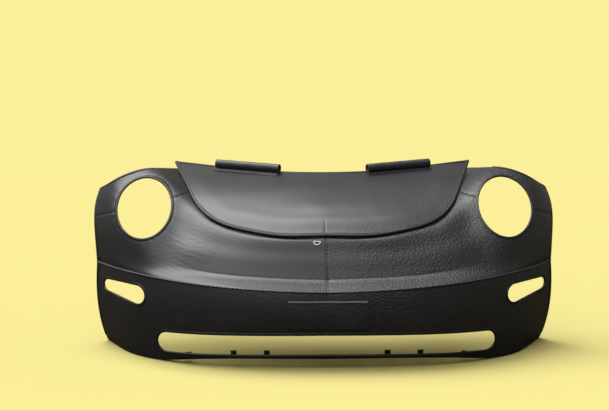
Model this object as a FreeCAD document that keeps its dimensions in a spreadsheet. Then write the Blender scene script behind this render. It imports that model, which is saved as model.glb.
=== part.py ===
import FreeCAD, Part
import math
import os

# Front end cover: a two-piece fitted vinyl mask for the nose of a small round-nosed car.
# Frame: +Z up, +X to the right as seen from the front, the nose faces -Y.
# The origin lies on the floor plane, under the middle of the cover.

os.makedirs("parts", exist_ok=True)
doc = FreeCAD.newDocument("front_end_cover")
Vector = FreeCAD.Vector

# Driving dimensions, in millimetres and degrees
SIZES = [
    ("cover_width", 1612, "over both wheel arches"),
    ("cover_depth", 730, "from the nose to the rear corners of the hood piece"),
    ("cover_height", 640, "from the hem to the rear corners of the hood piece"),
    ("vinyl", 3, "vinyl with its fleece backing"),
    ("tape", 1.6, "binding tape, one layer"),
    ("tape_reach", 7, "how far a binding covers the face of a panel"),
    ("lamp_radius", 97, "headlight opening"),
    ("lamp_across", 610, "headlight opening from the middle plane, as drawn"),
    ("lamp_up", 484, "headlight opening above the hem, as drawn"),
    ("signal_inner_radius", 31, "turn signal opening, wide end"),
    ("signal_outer_radius", 21, "turn signal opening, narrow end"),
    ("signal_inner_across", 618, "wide end from the middle plane, as drawn"),
    ("signal_outer_across", 733, "narrow end from the middle plane, as drawn"),
    ("signal_inner_up", 209, "wide end above the hem, as drawn"),
    ("signal_outer_up", 221, "narrow end above the hem, as drawn"),
    ("grille_half", 545, "grille opening, middle to its rounded end, as drawn"),
    ("grille_top", 113, "top edge of the grille opening at the middle, as drawn"),
    ("grille_bottom", 45, "bottom edge of the grille opening at the middle, as drawn"),
    ("grille_sag", 11, "how much lower its ends lie, as drawn"),
    ("arch_radius", 348, "wheel arch edge about the wheel axis, as drawn"),
    ("arch_back", 790, "wheel axis behind the nose, as drawn"),
    ("arch_up", 234, "wheel axis above the hem, as drawn"),
    ("arch_lip", 26, "turned-in lip round the wheel arch"),
    ("hem_turn", 24, "turned-under hem along the bottom"),
    ("tuck", 34, "flap of the lower piece under the hood piece"),
    ("split_across", 468, "fender seam from the middle plane where it leaves the hood edge, as drawn"),
    ("split_up", 527, "the same place above the hem, as drawn"),
    ("split_tilt", 14, "fall of the fender seam to the outside, degrees"),
    ("welt", 4, "side of the raised welt on the crease seam"),
    ("flap_half", 122, "licence plate flap, half its width"),
    ("flap_top", 219, "top edge of the plate flap"),
    ("flap_bottom", 128, "bottom edge of the plate flap"),
    ("flap_thick", 2, "plate flap vinyl"),
    ("tube_radius", 16.5, "deflector tube"),
    ("tube_inner", 147, "inner end of a tube from the middle plane"),
    ("tube_outer", 376, "outer end of a tube from the middle plane"),
    ("tube_setback", 20, "tube axis in front of the top edge of the hood piece"),
    ("tube_flange", 17, "stitched flange in front of a tube"),
    ("strap_width", 25, "webbing strap at the hood corner"),
    ("strap_length", 62, "its free length"),
    ("strap_thick", 2.4, "webbing"),
    ("eyelet_bore", 3.2, "radius of the hole in an eyelet"),
    ("eyelet_wall", 1, "wall of its barrel"),
    ("eyelet_rim", 7.5, "radius of its flange"),
    ("eyelet_plate", 1.2, "thickness of its flange"),
    ("clip_width", 24, "plated ring below the hood edge"),
    ("clip_wire", 1.4, "radius of its wire"),
    ("clip_across", 31, "clip from the middle plane"),
    ("hook_wide", 18, "steel hooks on the hem and the corner straps"),
    ("hook_sheet", 1.5, "their sheet"),
    ("hook_tall", 26, "free height of a hook"),
    ("hook_mouth", 9, "opening of a hook"),
    ("seam_tape_half", 11, "tape behind the middle seam, half its width"),
    ("seat", 0.3, "clearance of pieces that only lie on each other"),
    ("lap", 1.4, "clearance of the lower piece under the bound edge of the hood piece"),
]

sheet = doc.addObject("Spreadsheet::Sheet", "Sizes")
for row, (name, value, note) in enumerate(SIZES, start=1):
    sheet.set(f"A{row}", name)
    sheet.set(f"B{row}", str(value))
    sheet.set(f"C{row}", note)
    sheet.setAlias(f"B{row}", name)
doc.recompute()


def size(name):
    return float(sheet.get(name))


# The rib tables below, and the places marked as drawn, are on a cover of this size.
# The function at() stretches them to the sheet's width, depth and height.
# The drawing's middle lies behind the cover's own, because it leaves a gap in front of the nose.
DRAWN_WIDTH, DRAWN_DEPTH, DRAWN_HEIGHT = 1612.0, 730.0, 640.0
WIDE = size("cover_width") / DRAWN_WIDTH
DEEP = size("cover_depth") / DRAWN_DEPTH
TALL = size("cover_height") / DRAWN_HEIGHT
NOSE_GAP = 3.4
MIDDLE = (DRAWN_DEPTH / 2 - NOSE_GAP) * DEEP
VINYL, TAPE, SEAT = size("vinyl"), size("tape"), size("seat")
UNDER = VINYL + TAPE + size("lap")
LIP_OUT = 5
FAR = 1200.0


def at(across, back, up):
    """A drawn point, measured from the middle plane, the nose and the hem, in the part's frame."""
    return Vector(across * WIDE, back * DEEP - MIDDLE, up * TALL)


# Stations are fractions of the way from the middle plane to the wheel arch along the crease seam.
STATIONS = [0, 0.22, 0.41, 0.56, 0.67, 0.77, 0.85, 0.93, 1]
HEM = [(0, 45, 32), (172, 50, 32), (322, 74, 28), (436, 118, 17), (518, 170, 5),
       (592, 230, 0), (652, 300, 0), (714, 415, 0), (766, 525, 0)]
SEAM_REACH, SEAM_SWEEP, SEAM_POWER = 796, 454, 2.83
SEAM_UP, SEAM_RISE, SEAM_NOSE = 245, 46, 10
BELLY = 9

# Each rib of the nose runs from the crease seam over ledge, rise, waist, brow and crown.
LEVELS = [0, 0.13, 0.31, 0.52, 0.74, 0.91, 1]
RIBS = [
    [(0, 48, 261), (0, 80, 277), (0, 105, 324), (0, 126, 360), (0, 140, 390)],
    [(175, 55, 266), (176, 87, 282), (178, 113, 328), (180, 137, 364), (182, 154, 394)],
    [(327, 84, 273), (325, 113, 290), (320, 143, 336), (312, 173, 374), (304, 199, 409)],
    [(450, 132, 281), (448, 161, 303), (440, 193, 356), (421, 230, 402), (401, 260, 441)],
    [(538, 187, 290), (536, 213, 327), (523, 250, 394), (492, 298, 450), (462, 342, 491)],
    [(618, 251, 307), (623, 274, 375), (610, 316, 472), (574, 386, 545), (522, 452, 565)],
    [(684, 313, 319), (692, 342, 410), (680, 399, 510), (636, 476, 586), (572, 549, 607)],
    [(748, 390, 328), (757, 420, 420), (750, 474, 518), (716, 548, 596), (642, 640, 632)],
    [(804, 482, 335), (812, 512, 410), (814, 572, 490), (800, 676, 562), (760, 745, 610)],
]
LAST_LIP = (712, 785, 632)

# Plan of the hood piece, right half: its edge on the nose, and its top edge
HOOD_EDGE = [(0, 150), (130, 157), (240, 190), (345, 243), (420, 330), (470, 465), (540, 718)]
HOOD_EDGE_AT = [0, 1.45, 2.55, 3.5, 4.3, 5.1, 5.55, 5.95]
TOP_EDGE = [(0, 548), (150, 564), (300, 612), (420, 666), (540, 718)]
HOOD_PROFILE = [(100, 370), (150, 409), (200, 447), (250, 480), (300, 506), (400, 547),
                (500, 578), (600, 604), (760, 645)]
CROWN, CROWN_FADE = 112, 200
# Plan of the rear edge of the lower piece, where it crosses the fender
FENDER_EDGE = [(460, 735), (527, 637), (575, 550), (630, 517), (690, 508), (745, 527),
               (790, 590), (840, 700)]


def spline(points, parameters=None):
    """A curve through the points, at the given parameters or at 0, 1, 2 and so on."""
    curve = Part.BSplineCurve()
    curve.interpolate(Points=points, Parameters=parameters or list(range(len(points))))
    return curve


def steps(count):
    count = round(count)
    return [i / count for i in range(count + 1)]


def right_half(points):
    """The right half of a curve that runs evenly across the middle plane."""
    left = [Vector(-x, y, 0) for x, y in reversed(points[1:])]
    curve = spline(left + [Vector(x, y, 0) for x, y in points], list(range(1 - len(points), len(points))))
    curve.segment(0, len(points) - 1)
    return curve


hood_profile = spline([Vector(back, up, 0) for back, up in HOOD_PROFILE],
                      [back for back, up in HOOD_PROFILE])
hood_edge = right_half(HOOD_EDGE)
top_edge = right_half(TOP_EDGE)
fender_edge = spline([Vector(x, y, 0) for x, y in FENDER_EDGE])


def hood_up(across, back):
    """Height of the hood's outer face: its middle profile, less a crown that fades to the rear."""
    crown = CROWN * math.exp((HOOD_PROFILE[1][0] - back) / CROWN_FADE)
    return hood_profile.value(back).y - crown * (across / 500) ** 2


def hood_point(across, back, below=0):
    """A point on the hood's outer face, or below it along its normal."""
    step = 1.0
    along = at(across + step, back, hood_up(across + step, back)) - at(across, back, hood_up(across, back))
    rear = at(across, back + step, hood_up(across, back + step)) - at(across, back, hood_up(across, back))
    normal = along.cross(rear).normalize()
    return at(across, back, hood_up(across, back)) - normal * below


def inside_hood(where, inward):
    """Plan point beside the hood's edge curve, moved towards the middle of the hood."""
    point, tangent = hood_edge.value(where), hood_edge.tangent(where)[0]
    across = point.x - tangent.y * inward if where else 0
    return across, point.y + tangent.x * inward


def seam_point(station):
    return (SEAM_REACH * station, SEAM_NOSE + SEAM_SWEEP * station ** SEAM_POWER,
            SEAM_UP + SEAM_RISE * station ** 1.5)


def bumper_rib(station, hem):
    """Points from the hem up to the crease seam, bellied outwards."""
    seam, low = at(*seam_point(station)), at(*hem)
    ahead, behind = at(*seam_point(station + 0.01)), at(*seam_point(max(station - 0.01, 0)))
    outward = (ahead - behind).cross(Vector(0, 0, 1)) if station else Vector(0, -1, 0)
    outward.z = 0
    outward.normalize()
    rib = []
    for level in steps(6):
        spread = (1 - level) ** 2.2
        point = seam + (low - seam) * spread
        point.z = low.z + (seam.z - low.z) * level
        rib.append(point + outward * (BELLY * 4 * level * (1 - level)))
    return rib


def nose_rib(station, index):
    """Points from the crease seam up to the lip just outside the hood edge."""
    rib = [at(*seam_point(station))] + [at(*point) for point in RIBS[index]]
    if index == len(HOOD_EDGE_AT):
        return rib + [at(*LAST_LIP)]
    return rib + [hood_point(*inside_hood(HOOD_EDGE_AT[index], -LIP_OUT), below=UNDER)]


def dense_net(ribs, levels, along, upward):
    """Rows and ribs joined by curves and sampled evenly: net[station][level]."""
    fine = [spline(rib, levels) for rib in ribs]
    rails = [spline([rib.value(level) for rib in fine], STATIONS) for level in steps(upward)]
    return [[rail.value(station) for rail in rails] for station in steps(along)]


def normals(net):
    """Outward unit normals of a net, from its neighbouring points."""
    last, top = len(net) - 1, len(net[0]) - 1
    result = []
    for i, column in enumerate(net):
        row = []
        for j in range(len(column)):
            along = net[min(i + 1, last)][j] - net[max(i - 1, 0)][j]
            upward = net[i][min(j + 1, top)] - net[i][max(j - 1, 0)]
            normal = along.cross(upward)
            if i == 0:
                normal.x = 0
            row.append(normal.normalize())
        result.append(row)
    return result


def moved(net, directions, distance):
    return [[point + way * distance for point, way in zip(column, ways)]
            for column, ways in zip(net, directions)]


def facets(net, inward):
    """The triangles of a net of points, which face outwards unless inward."""
    faces = []
    for i in range(1, len(net)):
        for j in range(1, len(net[0])):
            corner, opposite = net[i - 1][j - 1], net[i][j]
            for third in (net[i][j - 1], net[i - 1][j]):
                points = [corner, third, opposite]
                if inward == (third is net[i][j - 1]):
                    points.reverse()
                faces.append(Part.Face(Part.makePolygon(points + points[:1])))
    return faces


def closed_solid(faces):
    shell = Part.makeShell(faces)
    shell.sewShape()
    solid = Part.makeSolid(shell)
    return solid if solid.Volume > 0 else solid.reversed()


def slab(outer_net, inner_net):
    """A closed skin of flat facets between two nets of equal size."""
    faces = facets(outer_net, False) + facets(inner_net, True)
    faces += facets([outer_net[0], inner_net[0]], True) + facets([outer_net[-1], inner_net[-1]], False)
    for end, inward in ((0, False), (-1, True)):
        outer, inner = [rib[end] for rib in outer_net], [rib[end] for rib in inner_net]
        faces += facets([outer, inner], inward)
    return closed_solid(faces)


def rail_solid(rails):
    """A closed solid whose cross-section is the polygon of the rails' points."""
    faces = facets(rails + rails[:1], False)
    for end in (0, -1):
        corners = [rail[end] for rail in rails]
        for k in range(1, len(corners) - 1):
            faces.append(Part.Face(Part.makePolygon([corners[0], corners[k], corners[k + 1], corners[0]])))
    return closed_solid(faces)


ALONG, BUMPER_UP, NOSE_UP = 14, 4, 10
bumper_net = dense_net([bumper_rib(f, hem) for f, hem in zip(STATIONS, HEM)], steps(6), ALONG, BUMPER_UP)
nose_net = dense_net([nose_rib(f, k) for k, f in enumerate(STATIONS)], LEVELS, ALONG, NOSE_UP)
for rib in bumper_net:
    rib[0].z = max(rib[0].z, 0)
bumper_way, nose_way = normals(bumper_net), normals(nose_net)
for i in range(ALONG + 1):
    low, high = bumper_way[i][-1], nose_way[i][0]
    mitre = (low + high) * (1 / (1 + low.dot(high)))
    bumper_way[i][-1] = nose_way[i][0] = mitre


def bumper_slab(outside, inside):
    return slab(moved(bumper_net, bumper_way, outside), moved(bumper_net, bumper_way, inside))


def nose_slab(outside, inside):
    return slab(moved(nose_net, nose_way, outside), moved(nose_net, nose_way, inside))


HOOD_ACROSS, HOOD_BACK, HOOD_NEAR, HOOD_SPAN, HOOD_HALF = 14, 8, 120, 620, 580


def hood_slab(outside, inside):
    def sheet_of(offset):
        return [[hood_point(HOOD_HALF * (2 * a - 1), HOOD_NEAR + HOOD_SPAN * b, -offset)
                 for b in steps(HOOD_BACK)] for a in steps(HOOD_ACROSS)]
    return slab(sheet_of(outside), sheet_of(inside))


def feature(name, shape):
    """A freeform piece: a document object that holds its finished shape."""
    item = doc.addObject("Part::Feature", name)
    item.Shape = shape
    return item


def column(outline):
    """A solid standing over a closed plan outline, given by its corners."""
    base = [Vector(point.x, point.y, -FAR / 2) for point in outline]
    return Part.Face(Part.makePolygon(base + base[:1])).extrude(Vector(0, 0, 2 * FAR))


def through(outline):
    """A solid that runs from the nose to the rear behind a closed front outline."""
    base = [Vector(point.x, -FAR / 2, point.z) for point in outline]
    return Part.Face(Part.makePolygon(base + base[:1])).extrude(Vector(0, FAR, 0))


def plan_points(curve, count, whole):
    """Points on a plan curve of the right half, carried over to the left half where whole."""
    half = [curve.value(step * curve.LastParameter) for step in steps(count)]
    right = [at(point.x, point.y, 0) for point in half]
    for place in right:
        place.z = 0
    left = [Vector(-place.x, place.y, 0) for place in reversed(right[1:])]
    return left + right if whole else right


def beside(points, margin):
    """The points moved to the right-hand side of their own line, in plan."""
    line = spline(points)
    result = []
    for index, point in enumerate(points):
        tangent = line.tangent(index)[0]
        result.append(point + Vector(tangent.y, -tangent.x, 0) * margin)
    return result


def strip(points, right_margin, left_margin):
    """A solid standing over the band between two lines beside a plan line."""
    return column(beside(points, right_margin) + beside(points, -left_margin)[::-1])


HOOD_LINE = plan_points(hood_edge, 11, True)
TOP_LINE = plan_points(top_edge, 6, True)
FENDER_LINE = plan_points(fender_edge, 12, False)


def fender_cutter():
    """Everything behind the rear edge of the lower piece, over the right fender."""
    start, end = FENDER_LINE[0], FENDER_LINE[-1]
    return column(FENDER_LINE + [Vector(FAR, end.y, 0), Vector(FAR, FAR, 0), Vector(start.x, FAR, 0)])


def bend(centre, radius, start, end, count):
    """Points on an arc in the front view, from one angle to another."""
    angles = [start + (end - start) * step for step in steps(count)]
    return [centre + Vector(math.cos(angle), 0, math.sin(angle)) * radius for angle in angles]


def signal_opening(margin):
    """The tapered slot round the turn signal: two round ends and their tangents."""
    big = at(size("signal_inner_across"), 0, size("signal_inner_up"))
    small = at(size("signal_outer_across"), 0, size("signal_outer_up"))
    big_radius, small_radius = size("signal_inner_radius"), size("signal_outer_radius")
    along = small - big
    heading = math.atan2(along.z, along.x)
    lean = math.acos((big_radius - small_radius) / along.Length)
    return through(bend(small, small_radius + margin, heading - lean, heading + lean, 5)
                   + bend(big, big_radius + margin, heading + lean, heading + 2 * math.pi - lean, 8))


def grille_opening(margin):
    """The long slot: bowed top and bottom edges and round ends."""
    half, sag = size("grille_half") * WIDE, size("grille_sag") * TALL
    high, low = size("grille_top") * TALL, size("grille_bottom") * TALL
    end_radius = (high - low) / 2
    straight = half - end_radius
    across = [straight * (1 - 2 * step) for step in steps(6)]
    bow = [sag * (x / straight) ** 2 for x in across]
    top = [Vector(x, 0, high + margin - drop) for x, drop in zip(across, bow)]
    bottom = [Vector(x, 0, low - margin - drop) for x, drop in zip(across, bow)]
    middle = (high + low) / 2 - sag
    right = bend(Vector(straight, 0, middle), end_radius + margin, -math.pi / 2, math.pi / 2, 4)
    left = bend(Vector(-straight, 0, middle), end_radius + margin, math.pi / 2, 1.5 * math.pi, 4)
    return through(right[1:-1] + top + left[1:-1] + bottom[::-1])


REARWARD, OUTWARD = Vector(0, 1, 0), Vector(1, 0, 0)
LAMP_SIDES, ARCH_SIDES = 20, 44
LAMP = at(size("lamp_across"), 0, size("lamp_up"))
LAMP.y = -FAR / 2


def lamp_bar(name, radius):
    """A long many-sided bar through the headlight opening, its radius an expression on the sheet."""
    item = doc.addObject("Part::Prism", name)
    item.Polygon = LAMP_SIDES
    item.setExpression("Circumradius", radius)
    item.Height = FAR
    item.Placement = FreeCAD.Placement(LAMP, FreeCAD.Rotation(Vector(0, 0, 1), REARWARD))
    return item


def arch_corners(margin):
    """Corners of the wheel arch's edge as seen from the side, moved outwards by a margin."""
    corners = []
    for step in steps(ARCH_SIDES)[:-1]:
        back, up = math.cos(2 * math.pi * step), math.sin(2 * math.pi * step)
        spot = size("arch_back") + size("arch_radius") * back, size("arch_up") + size("arch_radius") * up
        edge = at(0, *spot)
        corners.append(edge + Vector(0, back / DEEP, up / TALL).normalize() * margin)
    return corners


def arch_bar(margin):
    corners = arch_corners(margin)
    return Part.Face(Part.makePolygon(corners + corners[:1])).extrude(OUTWARD * FAR)


lamp_hole = lamp_bar("lamp_hole", "Sizes.lamp_radius")
lamp_inside = lamp_bar("lamp_inside", "Sizes.lamp_radius - Sizes.tape")
lamp_rim = lamp_bar("lamp_rim", "Sizes.lamp_radius + Sizes.tape_reach")
arch, arch_skin = arch_bar(0), arch_bar(VINYL)

# The fender seam: a slope across the middle of the headlight, between the nose and the fender panel
above_seam = doc.addObject("Part::Box", "above_seam")
above_seam.Length, above_seam.Width, above_seam.Height = 2 * FAR, 2 * FAR, FAR
SEAM_START = at(size("split_across"), 0, size("split_up"))
TILT = FreeCAD.Rotation(Vector(0, 1, 0), size("split_tilt"))
above_seam.Placement = FreeCAD.Placement(SEAM_START - TILT.multVec(Vector(FAR / 2, FAR, 0)), TILT)
doc.recompute()

MIRROR = (Vector(0, 0, 0), Vector(1, 0, 0))
TAPE_REACH = size("tape_reach")


def both(shape):
    """A half joined to its mirror image across the middle plane."""
    return shape.fuse(shape.mirror(*MIRROR)).removeSplitter()


# Panels of the lower piece, right half
bumper_whole = bumper_slab(0, -VINYL).cut(arch_skin)
nose_whole = nose_slab(0, -VINYL).cut(fender_cutter()).cut(arch_skin)
nose_open = nose_whole.cut(lamp_hole.Shape)
bumper_panel = bumper_whole.cut([signal_opening(0), grille_opening(0)])
nose_panel = nose_open.cut(above_seam.Shape)
fender_panel = nose_open.common(above_seam.Shape)


def folded(make_slab, wide, hole, inside):
    """Tape folded round an edge: a layer on each face of the panel and one over its edge."""
    band = wide.cut(inside)
    outer = make_slab(TAPE, 0).common(band)
    inner = make_slab(-VINYL, -VINYL - TAPE).common(band)
    over = make_slab(0, -VINYL).common(hole.cut(inside))
    return outer.fuse([inner, over]).removeSplitter()


lamp_binding = folded(nose_slab, lamp_rim.Shape, lamp_hole.Shape, lamp_inside.Shape)
signal_binding = folded(bumper_slab, signal_opening(TAPE_REACH), signal_opening(0), signal_opening(-TAPE))
grille_band = folded(bumper_slab, grille_opening(TAPE_REACH), grille_opening(0), grille_opening(-TAPE))
fender_binding = folded(nose_slab, strip(FENDER_LINE, TAPE_REACH, TAPE), strip(FENDER_LINE, 0, 2 * TAPE),
                        strip(FENDER_LINE, -TAPE, 3 * TAPE)).cut(arch_skin)

# The hood piece
hood_panel = hood_slab(0, -VINYL).common(column(HOOD_LINE + TOP_LINE[1:-1][::-1]))
hood_edge_binding = folded(hood_slab, strip(HOOD_LINE, TAPE, TAPE_REACH), strip(HOOD_LINE, 2 * TAPE, 0),
                           strip(HOOD_LINE, 3 * TAPE, -TAPE))
hood_top_binding = folded(hood_slab, strip(TOP_LINE, TAPE_REACH, TAPE), strip(TOP_LINE, 0, 2 * TAPE),
                          strip(TOP_LINE, -TAPE, 3 * TAPE))
CORNER = at(HOOD_EDGE[-1][0], 0, 0).x - 2 * TAPE_REACH
between_corners = Part.makeBox(2 * CORNER, 2 * FAR, FAR, Vector(-CORNER, -FAR, 0))
hood_top_binding = hood_top_binding.common(between_corners).cut(hood_edge_binding)


WELT_RISE = 0.8


def welt_rails():
    """The raised welt on the crease: a bead that straddles the edge of the ledge."""
    side = size("welt")
    rails = [[], [], [], []]
    for i in range(ALONG + 1):
        seam = nose_net[i][0]
        down = (bumper_net[i][-2] - seam).normalize() * side
        back = (nose_net[i][1] - seam).normalize() * side
        tip = Vector(*bumper_way[i][-1]).normalize()
        foot = seam + tip * SEAT
        for rail, point in zip(rails, (foot, foot + back, foot + tip * (side * WELT_RISE), foot + down)):
            rail.append(point)
    return rails


crease_welt = rail_solid(welt_rails()).cut(arch_skin)


# The flap under the hood piece ends, and the wheel arch's lip starts, at these stations
TUCK_TO, LIP_START = 0.85, 0.72


def tuck_rails():
    """The flap of the lower piece that lies under the bound edge of the hood piece."""
    where = spline([Vector(place, 0, 0) for place in HOOD_EDGE_AT], STATIONS[:len(HOOD_EDGE_AT)])
    rails = [[], [], [], []]
    for i in range(round(TUCK_TO * ALONG) + 1):
        lip, way = nose_net[i][-1], nose_way[i][-1]
        inside = inside_hood(where.value(i / ALONG).x, size("tuck"))
        points = (lip, hood_point(*inside, below=UNDER), hood_point(*inside, below=UNDER + VINYL),
                  lip - way * VINYL)
        for rail, point in zip(rails, points):
            rail.append(point)
    return rails


tuck_flap = rail_solid(tuck_rails()).cut(fender_cutter())


def hem_rails():
    """The turned-under hem along the bottom of the bumper panel."""
    rails = [[], [], [], []]
    for i in range(ALONG + 1):
        inner = bumper_net[i][0] - bumper_way[i][0] * VINYL
        higher = bumper_net[i][1] - bumper_way[i][1] * VINYL
        rise = (higher - inner).normalize() * VINYL
        inward = Vector(-bumper_way[i][0].x, -bumper_way[i][0].y, 0).normalize() * size("hem_turn")
        fold = inner + inward
        for rail, point in zip(rails, (inner, fold, fold + Vector(0, 0, VINYL), inner + rise)):
            rail.append(point)
    return rails


hem_turn = rail_solid(hem_rails()).cut(arch_skin)

# The lip that turns in round the wheel arch
LIP_FROM = round(LIP_START * ALONG)


def lip_slab(net, ways):
    part, way = net[LIP_FROM:], ways[LIP_FROM:]
    return slab(part, moved(part, way, -size("arch_lip")))


arch_ring = arch_skin.cut(arch)
arch_lip = lip_slab(bumper_net, bumper_way).common(arch_ring).fuse(
    lip_slab(nose_net, nose_way).common(arch_ring)).removeSplitter().cut(fender_cutter())

flap_box = Part.makeBox(2 * size("flap_half"), FAR, size("flap_top") - size("flap_bottom"),
                        Vector(-size("flap_half"), -FAR / 2, size("flap_bottom")))
plate_flap = both(bumper_slab(size("flap_thick"), 0).common(flap_box))



def seam_tape(net, ways, rows):
    """Tape sewn behind the middle seam of the lower piece, past the given rows of its net."""
    rails = [[], [], [], []]
    half = size("seam_tape_half")
    for row in rows:
        below, share = int(row), row - int(row)
        above = min(below + 1, len(net[0]) - 1)
        point = net[0][below] * (1 - share) + net[0][above] * share
        way = (ways[0][below] * (1 - share) + ways[0][above] * share).normalize()
        near, far = point - way * (VINYL + SEAT), point - way * (VINYL + SEAT + TAPE)
        for rail, place in zip(rails, (near - Vector(half, 0, 0), near + Vector(half, 0, 0),
                                       far + Vector(half, 0, 0), far - Vector(half, 0, 0))):
            rail.append(place)
    return rail_solid(rails)


# The tape starts just above the crease, and above the grille opening, between rows of the nets
NOSE_TAPE_ROWS = [0.6] + list(range(1, NOSE_UP))
BUMPER_TAPE_ROWS = [1.85, 2, 3, 3.7]
nose_seam_tape = seam_tape(nose_net, nose_way, NOSE_TAPE_ROWS)
bumper_seam_tape = seam_tape(bumper_net, bumper_way, BUMPER_TAPE_ROWS)

EYELET_SIDES = 8


def disc(name, radius, height, base_height="0"):
    """A many-sided disc about its own Z axis, its sizes and foot given as expressions on the sheet."""
    item = doc.addObject("Part::Prism", name)
    item.Polygon = EYELET_SIDES
    item.setExpression("Circumradius", radius)
    item.setExpression("Height", height)
    item.setExpression("Placement.Base.z", base_height)
    return item


def rolled_eyelet(name):
    """A two-part metal eyelet: a barrel through the vinyl and a flange on each side."""
    through_height = "Sizes.vinyl + 2 * Sizes.eyelet_plate"
    solid = doc.addObject("Part::MultiFuse", name + "_solid")
    solid.Shapes = [
        disc(name + "_barrel", "Sizes.eyelet_bore + Sizes.eyelet_wall", through_height),
        disc(name + "_front", "Sizes.eyelet_rim", "Sizes.eyelet_plate"),
        disc(name + "_back", "Sizes.eyelet_rim", "Sizes.eyelet_plate", "Sizes.vinyl + Sizes.eyelet_plate"),
    ]
    hole = doc.addObject("Part::Cylinder", name + "_hole")
    hole.setExpression("Radius", "Sizes.eyelet_bore")
    hole.setExpression("Height", through_height)
    item = doc.addObject("Part::Cut", name)
    item.Base, item.Tool = solid, hole
    return item


# Eyelets in the wheel arch lip, each in the middle of one flat of the lip
EYELET_FLATS = [24, 20, 17]
edge, middle_line = arch_corners(0), arch_corners(VINYL / 2)
eyelets = []
for flat in EYELET_FLATS:
    along = (edge[flat + 1] - edge[flat]).normalize()
    outward = along.cross(OUTWARD)
    level = (middle_line[flat] + middle_line[flat + 1]) * 0.5
    across = arch_lip.common(Part.makeLine(level, level + OUTWARD * FAR)).BoundBox.Center.x
    foot = (edge[flat] + edge[flat + 1]) * 0.5 - outward * size("eyelet_plate") + OUTWARD * across
    item = rolled_eyelet(f"eyelet_{len(eyelets)}")
    item.Placement = FreeCAD.Placement(foot, FreeCAD.Rotation(Vector(0, 0, 1), outward))
    doc.recompute()
    eyelets.append(item)
    print("eyelet", [round(c, 3) for c in foot], [round(c, 4) for c in outward])
arch_lip = arch_lip.cut([doc.getObject(item.Name + "_barrel").Shape.transformed(item.Placement.toMatrix())
                         for item in eyelets])


def padded_profile(name, outline, length):
    """A sheet-metal piece: a closed profile in the XZ plane, padded across by an expression."""
    body = doc.addObject("PartDesign::Body", name)
    sketch = body.newObject("Sketcher::SketchObject", name + "_profile")
    plane = next(item for item in body.Origin.OriginFeatures if item.Role == "XZ_Plane")
    sketch.AttachmentSupport = [(plane, "")]
    sketch.MapMode = "FlatFace"
    for (x, z), (next_x, next_z) in zip(outline, outline[1:] + outline[:1]):
        sketch.addGeometry(Part.LineSegment(Vector(x, z, 0), Vector(next_x, next_z, 0)), False)
    pad = body.newObject("PartDesign::Pad", name + "_pad")
    pad.Profile = sketch
    pad.setExpression("Length", length)
    pad.Midplane = True
    doc.recompute()
    return body


def hook_outline(grip, tall, mouth, sheet_thick):
    """A J in sheet steel: a grip that lies on the vinyl, a drop, and an upturned end."""
    return [(0, grip), (0, -tall), (mouth + 2 * sheet_thick, -tall), (mouth + 2 * sheet_thick, -tall / 2),
            (mouth + sheet_thick, -tall / 2), (mouth + sheet_thick, -tall + sheet_thick),
            (sheet_thick, -tall + sheet_thick), (sheet_thick, grip)]


# Webbing straps with steel hooks at the rear corners of the hood piece
STRAP_ACROSS, STRAP_BACK, STRAP_GRIP, HOOK_GRIP = 512, 668, 28, 18
strap_end = at(STRAP_ACROSS, STRAP_BACK, 0)
under_hood = hood_point(STRAP_ACROSS, STRAP_BACK, below=VINYL + SEAT).z


def strap_rails():
    thick, half = size("strap_thick"), size("strap_width") / 2
    rails = [[], [], [], [], [], []]
    for back in (STRAP_BACK - half, STRAP_BACK + half):
        start = hood_point(STRAP_ACROSS - STRAP_GRIP, back, below=VINYL + SEAT)
        turn = hood_point(STRAP_ACROSS, back, below=VINYL + SEAT)
        bottom = Vector(turn.x, turn.y, under_hood - size("strap_length"))
        side, down = Vector(-thick, 0, 0), Vector(0, 0, -thick)
        for rail, place in zip(rails, (turn + side + down, start + down, start, turn, bottom, bottom + side)):
            rail.append(place)
    return rails


corner_strap = rail_solid(strap_rails())
HOOK = hook_outline(HOOK_GRIP, size("hook_tall"), size("hook_mouth"), size("hook_sheet"))
corner_hook = padded_profile("corner_hook", HOOK, "Sizes.hook_wide")
corner_hook.Placement = FreeCAD.Placement(
    Vector(strap_end.x, strap_end.y, under_hood - size("strap_length")), FreeCAD.Rotation())

# Steel hooks along the turned hem: they grip its upper face and reach up behind the panel
HEM_HOOKS = [round(station * ALONG) for station in (0.2, 0.38, 0.56)]
hem_hooks = []
for i in HEM_HOOKS:
    near, far = [bumper_net[k][0] - bumper_way[k][0] * VINYL for k in (i, i + 1)]
    backwards = (near - far).normalize()
    inward = backwards.cross(Vector(0, 0, 1)).normalize()
    foot = (near + far) * 0.5 + inward * size("hem_turn") + Vector(0, 0, VINYL + SEAT)
    turn = FreeCAD.Rotation(inward, backwards, inward.cross(backwards), "XYZ")
    hem_hooks.append(padded_profile(f"hem_hook_{i}", [(-z, x) for x, z in HOOK], "Sizes.hook_wide"))
    hem_hooks[-1].Placement = FreeCAD.Placement(foot, turn)

# Deflector tubes with their stitched flanges, along the top edge of the hood piece
tube_radius, setback = size("tube_radius"), size("tube_setback")


def tube_spot(fraction, ahead, above):
    """A point beside the tube's line: ahead of it in plan and above the hood."""
    inner, outer = size("tube_inner") / WIDE, size("tube_outer") / WIDE
    ends = [top_edge.value(top_edge.parameter(Vector(x, y, 0))) for x, y in
            ((inner, top_up(inner)), (outer, top_up(outer)))]
    across = ends[1] - ends[0]
    forward = Vector(across.y, -across.x, 0).normalize() * (setback + ahead)
    place = ends[0] + across * fraction + forward
    return hood_point(place.x, place.y, below=-above)


def top_up(across):
    """How far back the top edge lies at this distance from the middle plane."""
    low, high = 0.0, float(len(TOP_EDGE) - 1)
    for step in range(40):
        middle = (low + high) / 2
        if top_edge.value(middle).x < across:
            low = middle
        else:
            high = middle
    return top_edge.value(low).y


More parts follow.
